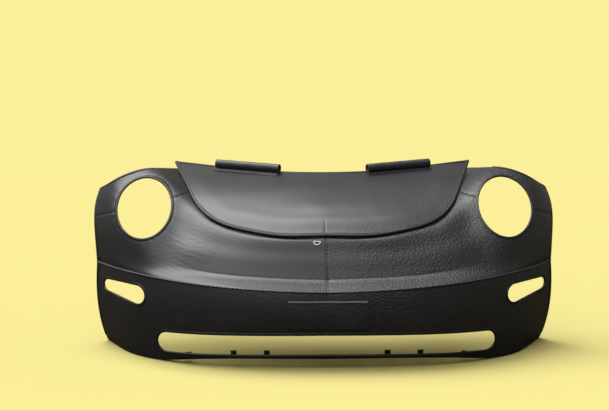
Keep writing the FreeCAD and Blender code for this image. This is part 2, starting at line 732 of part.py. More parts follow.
tube_start, tube_end = tube_spot(0, 0, 0), tube_spot(1, 0, 0)
tube_way = (tube_end - tube_start).normalize()
hood_normal = (tube_spot(0.5, 0, 1) - tube_spot(0.5, 0, 0)).normalize()
sag = max((tube_spot(f, 0, 0) - tube_start).dot(hood_normal) for f in steps(8))
raised = hood_normal * (tube_radius + SEAT + max(sag, 0))
deflector_tube = doc.addObject("Part::Cylinder", "deflector_tube")
deflector_tube.setExpression("Radius", "Sizes.tube_radius")
deflector_tube.Height = (tube_end - tube_start).Length
deflector_tube.Placement = FreeCAD.Placement(tube_start + raised, FreeCAD.Rotation(Vector(0, 0, 1), tube_way))


def flange_rails():
    thick, reach = size("flap_thick"), size("tube_flange")
    near = math.sqrt(tube_radius ** 2 - (tube_radius - thick) ** 2) + SEAT
    rails = [[], [], [], []]
    for f in steps(6):
        for rail, (ahead, above) in zip(rails, ((near, SEAT), (near + reach, SEAT),
                                                (near + reach, SEAT + thick), (near, SEAT + thick))):
            rail.append(tube_spot(f, ahead, above))
    return rails


deflector_flange = rail_solid(flange_rails())

# The plated half ring that shows just below the hood edge, beside the middle seam
CLIP_SIDES = 20
clip_disc = doc.addObject("Part::Prism", "clip_disc")
clip_disc.setExpression("Circumradius", "Sizes.clip_width / 2")
clip_hole = doc.addObject("Part::Prism", "clip_hole")
clip_hole.setExpression("Circumradius", "Sizes.clip_width / 2 - 2 * Sizes.clip_wire")
for item in (clip_disc, clip_hole):
    item.Polygon = CLIP_SIDES
    item.setExpression("Height", "2 * Sizes.clip_wire")
    item.setExpression("Placement.Base.z", "-Sizes.clip_wire")
clip_ring = doc.addObject("Part::Cut", "clip_ring")
clip_ring.Base, clip_ring.Tool = clip_disc, clip_hole
clip_side = doc.addObject("Part::Box", "clip_side")
clip_side.setExpression("Length", "Sizes.clip_width")
clip_side.setExpression("Width", "Sizes.clip_width")
clip_side.setExpression("Height", "2 * Sizes.clip_wire")
clip_side.setExpression("Placement.Base.x", "-Sizes.clip_width / 2")
clip_side.setExpression("Placement.Base.z", "-Sizes.clip_wire")
clip_half = doc.addObject("Part::Common", "clip_half")
clip_half.Base, clip_half.Tool = clip_ring, clip_side
clip_bar = doc.addObject("Part::Box", "clip_bar")
clip_bar.setExpression("Length", "Sizes.clip_width")
clip_bar.setExpression("Width", "2 * Sizes.clip_wire")
clip_bar.setExpression("Height", "2 * Sizes.clip_wire")
clip_bar.setExpression("Placement.Base.x", "-Sizes.clip_width / 2")
clip_bar.setExpression("Placement.Base.y", "-Sizes.clip_wire")
clip_bar.setExpression("Placement.Base.z", "-Sizes.clip_wire")
centre_clip = doc.addObject("Part::Fuse", "centre_clip")
centre_clip.Base, centre_clip.Tool = clip_half, clip_bar
clip_low, clip_high = nose_net[0][NOSE_UP - 3], nose_net[0][NOSE_UP - 1]
clip_rise = (clip_high - clip_low).normalize()
clip_out = Vector(0, -clip_rise.z, clip_rise.y)
clip_foot = clip_high + clip_out * (size("clip_wire") + SEAT) - Vector(size("clip_across"), 0, 0)
centre_clip.Placement = FreeCAD.Placement(
    clip_foot, FreeCAD.Rotation(Vector(-1, 0, 0), -clip_rise, clip_out, "XYZ"))

middle_pieces = {
    "hood_panel": hood_panel,
    "hood_edge_binding": hood_edge_binding,
    "hood_top_binding": hood_top_binding,
    "grille_binding": both(grille_band),
    "plate_flap": plate_flap,
    "nose_seam_tape": nose_seam_tape,
    "bumper_seam_tape": bumper_seam_tape,
}
right_pieces = {
    "bumper_panel": bumper_panel,
    "nose_panel": nose_panel,
    "fender_panel": fender_panel,
    "lamp_binding": lamp_binding,
    "signal_binding": signal_binding,
    "fender_binding": fender_binding,
    "crease_welt": crease_welt,
    "tuck_flap": tuck_flap,
    "hem_turn": hem_turn,
    "arch_lip": arch_lip,
    "corner_strap": corner_strap,
    "deflector_flange": deflector_flange,
}
pieces = [centre_clip]
for name, shape in middle_pieces.items():
    pieces.append(feature(name, shape))


def paired(name, right):
    """The right-hand piece and its mirror image, each under its own name."""
    right.Label = name + "_right"
    left = doc.addObject("Part::Mirroring", name + "_left")
    left.Source = right
    left.Normal = OUTWARD
    return [right, left]


def grouped(name, items):
    group = doc.addObject("Part::Compound", name)
    group.Links = items
    return group


for name, shape in right_pieces.items():
    pieces += paired(name, feature(name, shape))
pieces += paired("arch_eyelets", grouped("arch_eyelets", eyelets))
pieces += paired("hem_hooks", grouped("hem_hooks", hem_hooks))
pieces += paired("corner_hook", corner_hook)
pieces += paired("deflector_tube", deflector_tube)
doc.recompute()

for item in doc.Objects:
    if "Invalid" in item.State or "Error" in item.State:
        raise ValueError(item.Label + " could not be built")
for item in pieces:
    if item.Shape.isNull() or not item.Shape.isValid():
        raise ValueError(item.Label + " has no sound shape")
for item in pieces:
    item.Shape.exportStep(f"parts/{item.Label}.step")
    print(item.Label, len(item.Shape.Solids), round(item.Shape.Volume))
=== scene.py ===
# %% [markdown]
# A fitted front end cover: a sewn mask of black grained vinyl, in two pieces, which is held by hooks and
# eyelets at its edges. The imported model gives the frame, so every piece built here goes where that
# model says, in metres, with +X to the right, -Y to the front and +Z up.

# %% Load the frame
import math
import bpy
import numpy as np
from mathutils import Matrix, Vector


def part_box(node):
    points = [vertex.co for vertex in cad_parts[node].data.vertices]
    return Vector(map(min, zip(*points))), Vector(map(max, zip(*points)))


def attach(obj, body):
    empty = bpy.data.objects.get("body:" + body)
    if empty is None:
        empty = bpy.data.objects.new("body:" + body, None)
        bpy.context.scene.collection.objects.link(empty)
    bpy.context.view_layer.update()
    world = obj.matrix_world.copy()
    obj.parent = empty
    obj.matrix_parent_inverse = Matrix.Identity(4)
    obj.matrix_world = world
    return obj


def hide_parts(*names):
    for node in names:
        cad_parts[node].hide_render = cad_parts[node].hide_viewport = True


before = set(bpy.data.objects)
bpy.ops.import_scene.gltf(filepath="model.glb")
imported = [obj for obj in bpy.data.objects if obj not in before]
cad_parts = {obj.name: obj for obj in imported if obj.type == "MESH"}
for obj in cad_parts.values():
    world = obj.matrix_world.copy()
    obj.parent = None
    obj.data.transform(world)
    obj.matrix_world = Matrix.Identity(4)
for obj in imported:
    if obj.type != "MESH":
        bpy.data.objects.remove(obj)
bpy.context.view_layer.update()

# %% [markdown]
# The cover has three skins: the bumper band from the hem up to the crease, the nose from the crease
# up to the hood, and the hood piece. Each is a surface through a few given ribs. The same rib
# tables shaped the solids, in millimetres, but those are made of flat facets. Here the ribs are
# joined by smooth curves, sampled every few millimetres, so that light runs over them evenly.

# %% Rib tables, in millimetres from the middle plane, the nose and the hem
STATIONS = np.array([0, 0.22, 0.41, 0.56, 0.67, 0.77, 0.85, 0.93, 1])
HEM = [(0, 45, 32), (172, 50, 32), (322, 74, 28), (436, 118, 17), (518, 170, 5),
       (592, 230, 0), (652, 300, 0), (714, 415, 0), (766, 525, 0)]
SEAM_REACH, SEAM_SWEEP, SEAM_POWER = 796, 454, 2.83
SEAM_UP, SEAM_RISE, SEAM_RISE_POWER, SEAM_NOSE = 245, 46, 1.5, 10
BELLY, BELLY_POWER = 9, 2.2
LEVELS = np.array([0, 0.13, 0.31, 0.52, 0.74, 0.91, 1])
RIBS = [
    [(0, 48, 261), (0, 80, 277), (0, 105, 324), (0, 126, 360), (0, 140, 390)],
    [(175, 55, 266), (176, 87, 282), (178, 113, 328), (180, 137, 364), (182, 154, 394)],
    [(327, 84, 273), (325, 113, 290), (320, 143, 336), (312, 173, 374), (304, 199, 409)],
    [(450, 132, 281), (448, 161, 303), (440, 193, 356), (421, 230, 402), (401, 260, 441)],
    [(538, 187, 290), (536, 213, 327), (523, 250, 394), (492, 298, 450), (462, 342, 491)],
    [(618, 251, 307), (623, 274, 375), (610, 316, 472), (574, 386, 545), (522, 452, 565)],
    [(684, 313, 319), (692, 342, 410), (680, 399, 510), (636, 476, 586), (572, 549, 607)],
    [(748, 390, 328), (757, 420, 420), (750, 474, 518), (716, 548, 596), (642, 640, 632)],
    [(804, 482, 335), (812, 512, 410), (814, 572, 490), (800, 676, 562), (760, 745, 610)],
]
LAST_LIP = (712, 785, 632)
HOOD_EDGE = [(0, 150), (130, 157), (240, 190), (345, 243), (420, 330), (470, 465), (540, 718)]
HOOD_EDGE_AT = [0, 1.45, 2.55, 3.5, 4.3, 5.1, 5.55, 5.95]
TOP_EDGE = [(0, 548), (150, 564), (300, 612), (420, 666), (540, 718)]
HOOD_PROFILE = [(100, 370), (150, 409), (200, 447), (250, 480), (300, 506), (400, 547),
                (500, 578), (600, 604), (760, 645)]
CROWN, CROWN_FADE, CROWN_HALF = 112, 200, 500
FENDER_EDGE = [(460, 735), (527, 637), (575, 550), (630, 517), (690, 508), (745, 527),
               (790, 590), (840, 700)]
MIDDLE = 361.6
VINYL = 0.003
UNDER_HOOD, LIP_OUT = 6.0, 5.0
SEAT = 0.0003
MM = 0.001
SIDES = (("right", False), ("left", True))
FLIP = np.array([-1, 1, 1])
# The steps over which normals are measured: a share of the ribbed surfaces, and millimetres on the hood
RIB_STEP, PLAN_STEP = 1e-3, 1.0
print(len(HEM), "ribs for the bumper band and", len(RIBS), "for the nose, in millimetres")


def placed(points):
    """Drawn points in millimetres, put into the frame in metres."""
    points = np.asarray(points, float)
    return (points - np.array([0, MIDDLE, 0])) * MM


# %% Smooth curves through points
def tangent_rule(knots):
    """The matrix that turns a curve's points into its tangents, so that the curve bends evenly."""
    knots = np.asarray(knots, float)
    gap, count = np.diff(knots), len(knots)
    left, right = np.zeros((count, count)), np.zeros((count, count))
    for i in range(1, count - 1):
        left[i, i - 1:i + 2] = gap[i], 2 * (gap[i - 1] + gap[i]), gap[i - 1]
        right[i, i - 1] -= 3 * gap[i] / gap[i - 1]
        right[i, i] += 3 * gap[i] / gap[i - 1] - 3 * gap[i - 1] / gap[i]
        right[i, i + 1] += 3 * gap[i - 1] / gap[i]
    for end, near, step in ((0, 1, 1), (count - 1, count - 2, -1)):
        a, b = abs(knots[near] - knots[end]), abs(knots[near + step] - knots[near])
        left[end, end] = 1
        right[end, end] = -step * (2 * a + b) / (a * (a + b))
        right[end, near] = step * (a + b) / (a * b)
        right[end, near + step] = -step * a / (b * (a + b))
    return np.linalg.solve(left, right)


def curve_value(knots, points, tangents, where):
    """Points on the curve; points and tangents may hold one curve, or one for each place."""
    knots = np.asarray(knots, float)
    where = np.asarray(where, float)
    i = np.clip(np.searchsorted(knots, where, side="right") - 1, 0, len(knots) - 2)
    gap = (knots[i + 1] - knots[i])
    f = ((where - knots[i]) / gap)[..., None]
    gap = gap[..., None]
    if points.ndim == 2:
        p0, p1, t0, t1 = points[i], points[i + 1], tangents[i], tangents[i + 1]
    else:
        k = np.arange(points.shape[1])
        p0, p1, t0, t1 = points[i, k], points[i + 1, k], tangents[i, k], tangents[i + 1, k]
    return ((1 + 2 * f) * (1 - f) ** 2 * p0 + f * (1 - f) ** 2 * gap * t0
            + f * f * (3 - 2 * f) * p1 + f * f * (f - 1) * gap * t1)


def smooth_curve(points, knots=None):
    """A curve through the points, at the given knots or at 0, 1, 2 and so on."""
    points = np.asarray(points, float)
    knots = np.arange(len(points)) if knots is None else np.asarray(knots, float)
    tangents = tangent_rule(knots) @ points
    return lambda where: curve_value(knots, points, tangents, where)


def even_across(points):
    """The right half of a curve that runs evenly across the middle plane."""
    points = np.asarray(points, float)
    left = points[:0:-1] * np.array([-1, 1])
    knots = np.arange(1 - len(points), len(points))
    return smooth_curve(np.vstack([left, points]), knots)


hood_profile = smooth_curve([(up,) for back, up in HOOD_PROFILE], [back for back, up in HOOD_PROFILE])
hood_edge = even_across(HOOD_EDGE)
top_edge = even_across(TOP_EDGE)
fender_edge = smooth_curve(FENDER_EDGE)
print("hood edge in the middle and at its corner", hood_edge(0.0), hood_edge(len(HOOD_EDGE) - 1.0))


# %% The hood's surface
def hood_up(across, back):
    crown = CROWN * np.exp((HOOD_PROFILE[1][0] - back) / CROWN_FADE)
    return hood_profile(back)[..., 0] - crown * (across / CROWN_HALF) ** 2


def hood_surface(across, back):
    """Points on the hood piece, in metres, from drawn plan places."""
    return placed(np.stack([across, back, hood_up(across, back)], axis=-1))


def unit(vectors):
    return vectors / np.linalg.norm(vectors, axis=-1, keepdims=True)


def facing(surface, a, b, step):
    """Outward normals of a surface at its two parameters."""
    along = surface(a + step, b) - surface(a - step, b)
    upward = surface(a, b + step) - surface(a, b - step)
    return unit(np.cross(along, upward))


def beside_hood_edge(where, inward):
    """Drawn plan place beside the hood's edge, towards its middle."""
    ahead = hood_edge(where + 0.001) - hood_edge(where - 0.001)
    ahead = ahead / np.linalg.norm(ahead, axis=-1, keepdims=True)
    place = hood_edge(where)
    return np.stack([place[..., 0] - ahead[..., 1] * inward, place[..., 1] + ahead[..., 0] * inward], -1)


# %% Ribs of the bumper band and of the nose
def seam_point(station):
    return np.stack([SEAM_REACH * station, SEAM_NOSE + SEAM_SWEEP * station ** SEAM_POWER,
                     SEAM_UP + SEAM_RISE * station ** SEAM_RISE_POWER], axis=-1)


def bumper_rib(station, hem):
    seam, low = seam_point(np.float64(station)), np.array(hem, float)
    ahead = seam_point(station + 0.01) - seam_point(max(station - 0.01, 0))
    outward = unit(np.array([ahead[1], -ahead[0], 0]))
    rib = []
    for level in np.linspace(0, 1, 7):
        point = seam + (low - seam) * (1 - level) ** BELLY_POWER
        point[2] = low[2] + (seam[2] - low[2]) * level
        rib.append(point + outward * (BELLY * 4 * level * (1 - level)))
    rib = np.array(rib)
    if station == 0:
        rib[:, 0] = 0
    return rib


def nose_rib(index):
    rib = [tuple(seam_point(STATIONS[index]))] + RIBS[index]
    if index == len(HOOD_EDGE_AT):
        return np.array(rib + [LAST_LIP], float)
    across, back = beside_hood_edge(np.float64(HOOD_EDGE_AT[index]), -LIP_OUT)
    across = across if index else 0.0
    place = hood_surface(np.float64(across), np.float64(back))
    normal = facing(hood_surface, np.float64(across), np.float64(back), PLAN_STEP)
    lip = (place - normal * UNDER_HOOD * MM) / MM + np.array([0, MIDDLE, 0])
    return np.array(rib + [tuple(lip)], float)


# %% Surfaces through the ribs
def ribbed_surface(ribs, levels):
    """A surface through ribs: first along each rib to the level, then across the ribs."""
    ribs = np.array(ribs)
    up_tangents = np.array([tangent_rule(levels) @ rib for rib in ribs])
    across_rule = tangent_rule(STATIONS)

    def surface(station, level):
        station, level = np.broadcast_arrays(np.asarray(station, float), np.asarray(level, float))
        shape = station.shape
        station, level = station.ravel(), level.ravel()
        cross = np.array([curve_value(levels, rib, way, level) for rib, way in zip(ribs, up_tangents)])
        ways = np.einsum("ij,jkl->ikl", across_rule, cross)
        return placed(curve_value(STATIONS, cross, ways, station)).reshape(shape + (3,))
    return surface


bumper_surface = ribbed_surface([bumper_rib(f, hem) for f, hem in zip(STATIONS, HEM)], np.linspace(0, 1, 7))
nose_surface = ribbed_surface([nose_rib(k) for k in range(len(STATIONS))], LEVELS)
print("nose middle", nose_surface(0.0, 0.5), "bumper corner", bumper_surface(0.9, 0.5))

# %% [markdown]
# Openings and edges are signed distances: positive where vinyl stays, negative where it is cut away.
# A panel is a fine grid whose points just inside a cut are pulled onto its edge. The bound tape
# then covers that edge on both sides, as it does on the real cover.

# %% Cut lines
LAMP_ACROSS, LAMP_UP, LAMP_RADIUS = 0.610, 0.484, 0.097
WHEEL_BACK, WHEEL_UP, ARCH_RADIUS = (790 - MIDDLE) * MM, 0.234, 0.348
SIGNAL_BIG, SIGNAL_SMALL = np.array([0.618, 0.209]), np.array([0.733, 0.221])
SIGNAL_BIG_RADIUS, SIGNAL_SMALL_RADIUS = 0.031, 0.021
GRILLE_HALF, GRILLE_TOP, GRILLE_BOTTOM, GRILLE_SAG = 0.545, 0.113, 0.045, 0.011
SEAM_START, SEAM_TILT = np.array([0.468, 0.527]), math.radians(14)
print("headlight openings", 2 * LAMP_RADIUS, "m wide, grille opening", 2 * GRILLE_HALF, "m wide")


def off_lamp(p):
    return np.hypot(p[..., 0] - LAMP_ACROSS, p[..., 2] - LAMP_UP) - LAMP_RADIUS


def off_arch(p):
    return np.hypot(p[..., 1] - WHEEL_BACK, p[..., 2] - WHEEL_UP) - ARCH_RADIUS


def off_signal(p):
    """Distance from a tapered slot: a round cone between two circles, seen from the front."""
    along = SIGNAL_SMALL - SIGNAL_BIG
    length = np.linalg.norm(along)
    along = along / length
    q = np.stack([p[..., 0] - SIGNAL_BIG[0], p[..., 2] - SIGNAL_BIG[1]], axis=-1)
    x = q @ along
    y = np.abs(q @ np.array([-along[1], along[0]]))
    sine = (SIGNAL_BIG_RADIUS - SIGNAL_SMALL_RADIUS) / length
    cosine = math.sqrt(1 - sine * sine)
    reach = x * cosine - y * sine
    value = np.where(reach < 0, np.hypot(x, y) - SIGNAL_BIG_RADIUS,
                     np.where(reach > length * cosine, np.hypot(x - length, y) - SIGNAL_SMALL_RADIUS,
                              y * cosine + x * sine - SIGNAL_BIG_RADIUS))
    return value


def grille_drop(x):
    straight = GRILLE_HALF - (GRILLE_TOP - GRILLE_BOTTOM) / 2
    return GRILLE_SAG * np.minimum((x / straight) ** 2, 1)


def off_grille(p):
    end = (GRILLE_TOP - GRILLE_BOTTOM) / 2
    x = np.abs(p[..., 0])
    z = p[..., 2] - (GRILLE_TOP + GRILLE_BOTTOM) / 2 + grille_drop(x)
    return np.hypot(np.maximum(x - (GRILLE_HALF - end), 0), z) - end


# %% Edges in plan
FENDER_LINE = placed(np.c_[fender_edge(np.linspace(0, len(FENDER_EDGE) - 1, 121)), np.zeros(121)])[:, :2]
HOOD_LINE = placed(np.c_[hood_edge(np.linspace(0, len(HOOD_EDGE) - 1, 121)), np.zeros(121)])[:, :2]
TOP_LINE = placed(np.c_[top_edge(np.linspace(0, len(TOP_EDGE) - 1, 121)), np.zeros(121)])[:, :2]


def beside_line(line, p):
    """Distance in plan from a line, positive on its right-hand side."""
    flat = p[..., :2].reshape(-1, 2)
    start, way = line[:-1], np.diff(line, axis=0)
    length = np.linalg.norm(way, axis=1)
    way = way / length[:, None]
    best = np.full(len(flat), 1e9)
    side = np.ones(len(flat))
    for origin, heading, reach in zip(start, way, length):
        to = flat - origin
        t = np.clip(to @ heading, 0, reach)
        off = to - t[:, None] * heading
        distance = np.hypot(off[:, 0], off[:, 1])
        nearer = distance < best
        best = np.where(nearer, distance, best)
        turn = to[:, 0] * heading[1] - to[:, 1] * heading[0]
        side = np.where(nearer, np.sign(turn), side)
    return (best * side).reshape(p.shape[:-1])


def off_fender(p):
    return beside_line(FENDER_LINE, p)


def off_seam(p):
    """Positive below the slanted seam that parts the nose from the fender."""
    return ((SEAM_START[1] - p[..., 2]) * math.cos(SEAM_TILT)
            - (p[..., 0] - SEAM_START[0]) * math.sin(SEAM_TILT))


def both_ways(line):
    """A line's right half with its mirror image before it."""
    return np.vstack([line[::-1][:-1] * np.array([-1, 1]), line])


def off_hood_edge(p):
    """Positive inside the hood piece's front edge."""
    return -beside_line(both_ways(HOOD_LINE), p)


def off_top_edge(p):
    return beside_line(both_ways(TOP_LINE), p)


# %% Panels as trimmed grids
def trimmed(surface, a, b, fields):
    """Grid places whose points just outside the cut lines are pulled onto them, and which faces stay."""
    a, b = np.meshgrid(a, b, indexing="ij")
    away = np.min([field(surface(a, b)) for field in fields], axis=0)
    new_a, new_b = a.copy(), b.copy()
    best = np.full(a.shape, 2.0)
    rows, columns = a.shape
    for di, dj in ((0, 1), (0, -1), (1, 0), (-1, 0), (1, 1), (1, -1), (-1, 1), (-1, -1)):
        i0, i1 = max(0, -di), rows - max(0, di)
        j0, j1 = max(0, -dj), columns - max(0, dj)
        here = (slice(i0, i1), slice(j0, j1))
        there = (slice(i0 + di, i1 + di), slice(j0 + dj, j1 + dj))
        near, far = away[here], away[there]
        crossing = np.where((near < 0) & (far >= 0), near / (near - far - 1e-12), 2.0)
        length = crossing * math.hypot(di, dj)
        closer = length < best[here]
        new_a[here] = np.where(closer, a[here] + crossing * (a[there] - a[here]), new_a[here])
        new_b[here] = np.where(closer, b[here] + crossing * (b[there] - b[here]), new_b[here])
        best[here] = np.where(closer, length, best[here])
    stays = (away >= 0) | (best < 2.0)
    solid = away >= 0
    faces = stays[:-1, :-1] & stays[1:, :-1] & stays[1:, 1:] & stays[:-1, 1:]
    faces &= solid[:-1, :-1] | solid[1:, :-1] | solid[1:, 1:] | solid[:-1, 1:]
    return new_a, new_b, faces


# %% Pieces from points and faces
def mesh_piece(name, points, faces, material, mirrored=False):
    """A mesh from points and faces; a mirrored one keeps its faces outward."""
    points = np.asarray(points, float).copy()
    if mirrored:
        points[:, 0] *= -1
        faces = [tuple(reversed(face)) for face in faces]
    mesh = bpy.data.meshes.new(name)
    mesh.from_pydata(points.tolist(), [], [tuple(int(k) for k in face) for face in faces])
    mesh.polygons.foreach_set("use_smooth", [True] * len(mesh.polygons))
    mesh.materials.append(material)
    piece = bpy.data.objects.new(name, mesh)
    bpy.context.scene.collection.objects.link(piece)
    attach(piece, "root")
    return piece


def grid_faces(keep):
    """Quads of a grid, counter-clockwise seen from outside, where keep is true."""
    rows, columns = keep.shape[0] + 1, keep.shape[1] + 1
    index = np.arange(rows * columns).reshape(rows, columns)
    quads = np.stack([index[:-1, :-1], index[1:, :-1], index[1:, 1:], index[:-1, 1:]], axis=-1)
    return quads[keep]


def skin(name, grid, faces, material, lining, mirrored=False, thick=VINYL):
    """A panel of vinyl: the grid's outer face, a lining face and its cut edge."""
    used = np.unique(faces)
    renumber = np.zeros(grid.shape[0] * grid.shape[1], int)
    renumber[used] = np.arange(len(used))
    piece = mesh_piece(name, grid.reshape(-1, 3)[used], renumber[faces], material, mirrored)
    piece.data.materials.append(lining)
    shell = piece.modifiers.new("thickness", "SOLIDIFY")
    shell.thickness = thick
    shell.offset = -1
    shell.material_offset = 1
    shell.material_offset_rim = 0
    return piece


# %% [markdown]
# The vinyl is a soft PVC skin, calendered with a leather grain and laid on a fleece backing. The eye reads
# it by a broad, fairly dull highlight, broken up by pebbles and by soft crinkles where it is stretched.
# A real pebble is about 1.5 mm; here it is drawn at 6 mm, or it would not show at this distance.

# %% Node helpers
def linear(code):
    """An sRGB hex colour as linear red, green, blue and alpha."""
    values = [int(code[i:i + 2], 16) / 255 for i in (1, 3, 5)]
    return [v / 12.92 if v <= 0.04045 else ((v + 0.055) / 1.055) ** 2.4 for v in values] + [1]


def add(tree, kind, settings=(), inputs=(), links=()):
    """One node, with its settings, its plain input values and what is linked into it."""
    node = tree.nodes.new(kind)
    for name, value in dict(settings).items():
        setattr(node, name, value)
    for name, value in dict(inputs).items():
        node.inputs[name].default_value = value
    for name, source in dict(links).items():
        tree.links.new(source, node.inputs[name])
    return node


def fresh_material(name, roughness, metallic=0.0, code="#000000"):
    material = bpy.data.materials.new(name)
    material.use_nodes = True
    tree = material.node_tree
    shader = tree.nodes["Principled BSDF"]
    shader.inputs["Roughness"].default_value = roughness
    shader.inputs["Metallic"].default_value = metallic
    shader.inputs["Base Color"].default_value = linear(code)
    return material, tree, shader


PEBBLE = 0.0060
CRINKLE = 0.016
# The side, in metres from the middle, where the grain is flattest and deepest, and its share of depth there
SMOOTHER_FROM, GRAINY_FROM = -0.30, 0.22
FLATTEST, DEEPEST = 0.16, 0.85
VINYL_IOR, COAT, COAT_ROUGHNESS = 1.53, 0.6, 0.34
FINE_SHARE = 0.35


# %% Grained vinyl
def grained_vinyl(name, dark, light, roughness, grain_height, fold_height):
    """The grain is pressed flatter on the side where the skin is pulled tighter."""
    material, tree, shader = fresh_material(name, roughness)
    shader.inputs["IOR"].default_value = VINYL_IOR
    shader.inputs["Coat Weight"].default_value = COAT
    shader.inputs["Coat Roughness"].default_value = COAT_ROUGHNESS
    where = add(tree, "ShaderNodeTexCoord").outputs["Object"]
    aside = add(tree, "ShaderNodeSeparateXYZ", (), (), {"Vector": where}).outputs["X"]
    depth = add(tree, "ShaderNodeMapRange", (), {"From Min": SMOOTHER_FROM, "From Max": GRAINY_FROM,
                                                 "To Min": FLATTEST, "To Max": DEEPEST}, {"Value": aside})
    pebbles = add(tree, "ShaderNodeTexVoronoi", {"feature": "SMOOTH_F1"},
                  {"Scale": 1 / PEBBLE, "Smoothness": 0.6, "Randomness": 1.0}, {"Vector": where})
    fine = add(tree, "ShaderNodeTexNoise", (), {"Scale": 2.2 / PEBBLE, "Detail": 3.0}, {"Vector": where})
    wide = add(tree, "ShaderNodeMapping", (), {"Scale": (1.0, 1.0, 2.4)}, {"Vector": where})
    folds = add(tree, "ShaderNodeTexNoise", (), {"Scale": 1 / CRINKLE, "Detail": 4.0, "Roughness": 0.55,
                                                 "Distortion": 0.8}, {"Vector": wide.outputs["Vector"]})
    patches = add(tree, "ShaderNodeTexNoise", (), {"Scale": 9.0, "Detail": 2.0}, {"Vector": where})
    grain = add(tree, "ShaderNodeMath", {"operation": "MULTIPLY_ADD"}, {1: FINE_SHARE},
                {0: fine.outputs["Fac"], 2: pebbles.outputs["Distance"]})
    fold_bump = add(tree, "ShaderNodeBump", (), {"Distance": fold_height},
                    {"Height": folds.outputs["Fac"], "Strength": depth.outputs["Result"]})
    grain_bump = add(tree, "ShaderNodeBump", (), {"Distance": grain_height},
                     {"Height": grain.outputs[0], "Strength": depth.outputs["Result"],
                      "Normal": fold_bump.outputs["Normal"]})
    tone = add(tree, "ShaderNodeMix", {"data_type": "RGBA"}, {"A": linear(dark), "B": linear(light)},
               {"Factor": patches.outputs["Fac"]})
    dull = add(tree, "ShaderNodeMapRange", (), {"To Min": roughness - 0.06, "To Max": roughness + 0.08},
               {"Value": patches.outputs["Fac"]})
    tree.links.new(tone.outputs["Result"], shader.inputs["Base Color"])
    tree.links.new(dull.outputs["Result"], shader.inputs["Roughness"])
    tree.links.new(grain_bump.outputs["Normal"], shader.inputs["Normal"])
    return material


VINYL_SKIN = grained_vinyl("grained vinyl", "#212127", "#2c2c34", 0.43, 0.0024, 0.0011)
# The hood piece is drawn tighter, so its grain is flatter.
HOOD_VINYL = grained_vinyl("tight grained vinyl", "#212127", "#2c2c34", 0.43, 0.0010, 0.0006)
TAPE_SKIN = grained_vinyl("binding tape", "#0c0c0e", "#151518", 0.52, 0.0008, 0.0008)

# %% [markdown]
# The other finishes are plainer. Each blends two near shades by a fine pattern, at the scale of its threads,
# fibres or wear, which also changes its roughness or its height. One even colour would look like plastic.


# %% A finish of two near shades
def patterned(name, dark, light, pattern, roughness, metallic=0.0, height=0.0):
    """pattern(tree, where) gives a value from 0 to 1, which blends the two colours and lifts the surface."""
    material, tree, shader = fresh_material(name, roughness, metallic)
    where = add(tree, "ShaderNodeTexCoord").outputs["Object"]
    value = pattern(tree, where)
    tone = add(tree, "ShaderNodeMix", {"data_type": "RGBA"}, {"A": linear(dark), "B": linear(light)},
               {"Factor": value})
    dull = add(tree, "ShaderNodeMapRange", (), {"To Min": roughness - 0.07, "To Max": roughness + 0.07},
               {"Value": value})
    tree.links.new(tone.outputs["Result"], shader.inputs["Base Color"])
    tree.links.new(dull.outputs["Result"], shader.inputs["Roughness"])
    if height:
        bump = add(tree, "ShaderNodeBump", (), {"Strength": 0.6, "Distance": height}, {"Height": value})
        tree.links.new(bump.outputs["Normal"], shader.inputs["Normal"])
    return material


def speckle(size, detail):
    """A pattern of soft specks of this size, in metres."""
    def pattern(tree, where):
        return add(tree, "ShaderNodeTexNoise", (), {"Scale": 1 / size, "Detail": detail},
                   {"Vector": where}).outputs["Fac"]
    return pattern


YARN = 0.0020
WAVE_PERIOD = 0.31  # one band of Blender's wave texture at a scale of 1


def weave(tree, where):
    """Warp and weft of webbing; a real yarn is about 0.8 mm, drawn here at 2 mm so that it shows."""
    warp, weft = [add(tree, "ShaderNodeTexWave", {"bands_direction": way},
                      {"Scale": WAVE_PERIOD / YARN, "Distortion": 0.4}, {"Vector": where}) for way in "YZ"]
    return add(tree, "ShaderNodeMath", {"operation": "MULTIPLY"}, (),
               {0: warp.outputs["Fac"], 1: weft.outputs["Fac"]}).outputs[0]


# %% Fleece, thread, webbing, plated steel and dipped steel
# Fleece is needled polyester: matt and fluffy. Thread is twisted polyester with a slight shine.
LINING = patterned("fleece backing", "#48484c", "#76767b", speckle(0.0024, 5.0), 0.9, 0.0, 0.001)
THREAD = patterned("sewing thread", "#1b1b1e", "#3c3c40", speckle(0.0011, 2.0), 0.5)
# The grey thread on the piping is a painted highlight: its pale colour draws the thin light line of the
# piping's crest.
HIGHLIGHT_THREAD = patterned("grey thread painted as highlight", "#57575a", "#7c7c80", speckle(0.0011, 2.0), 0.5)
# Webbing is woven polyester: flat, with small square shadows between its yarns.
WEBBING = patterned("woven webbing", "#0c0c0e", "#2b2b2f", weave, 0.75, 0.0, 0.0008)
# Zinc plate is electroplated on steel: bright, with cloudy passivation.
ZINC = patterned("bright zinc plate", "#b4b6b8", "#d6d7d8", speckle(0.003, 3.0), 0.24, 1.0)
# The hem hooks were dipped in black vinyl paint: a thick, slightly lumpy coat with a dull shine.
DIPPED = patterned("dipped black coat", "#101012", "#1b1b1d", speckle(0.004, 2.0), 0.5, 0.0, 0.0005)
# A pale colour on sharp folds and cut edges is a painted highlight: it draws the thin light line where they
# catch the light.
FOLD_HIGHLIGHT = patterned("painted fold highlight", "#6b6b6c", "#a3a3a3", speckle(0.004, 3.0), 0.5)
print("finishes", [finish.name for finish in (VINYL_SKIN, TAPE_SKIN, LINING, THREAD, WEBBING, ZINC, DIPPED)])

# %% [markdown]
# A fitted skin is never quite smooth. It rises and falls by a fraction of a millimetre over a hand's
# breadth, and is drawn in where it is sewn. Both are added along the surface's own normals.

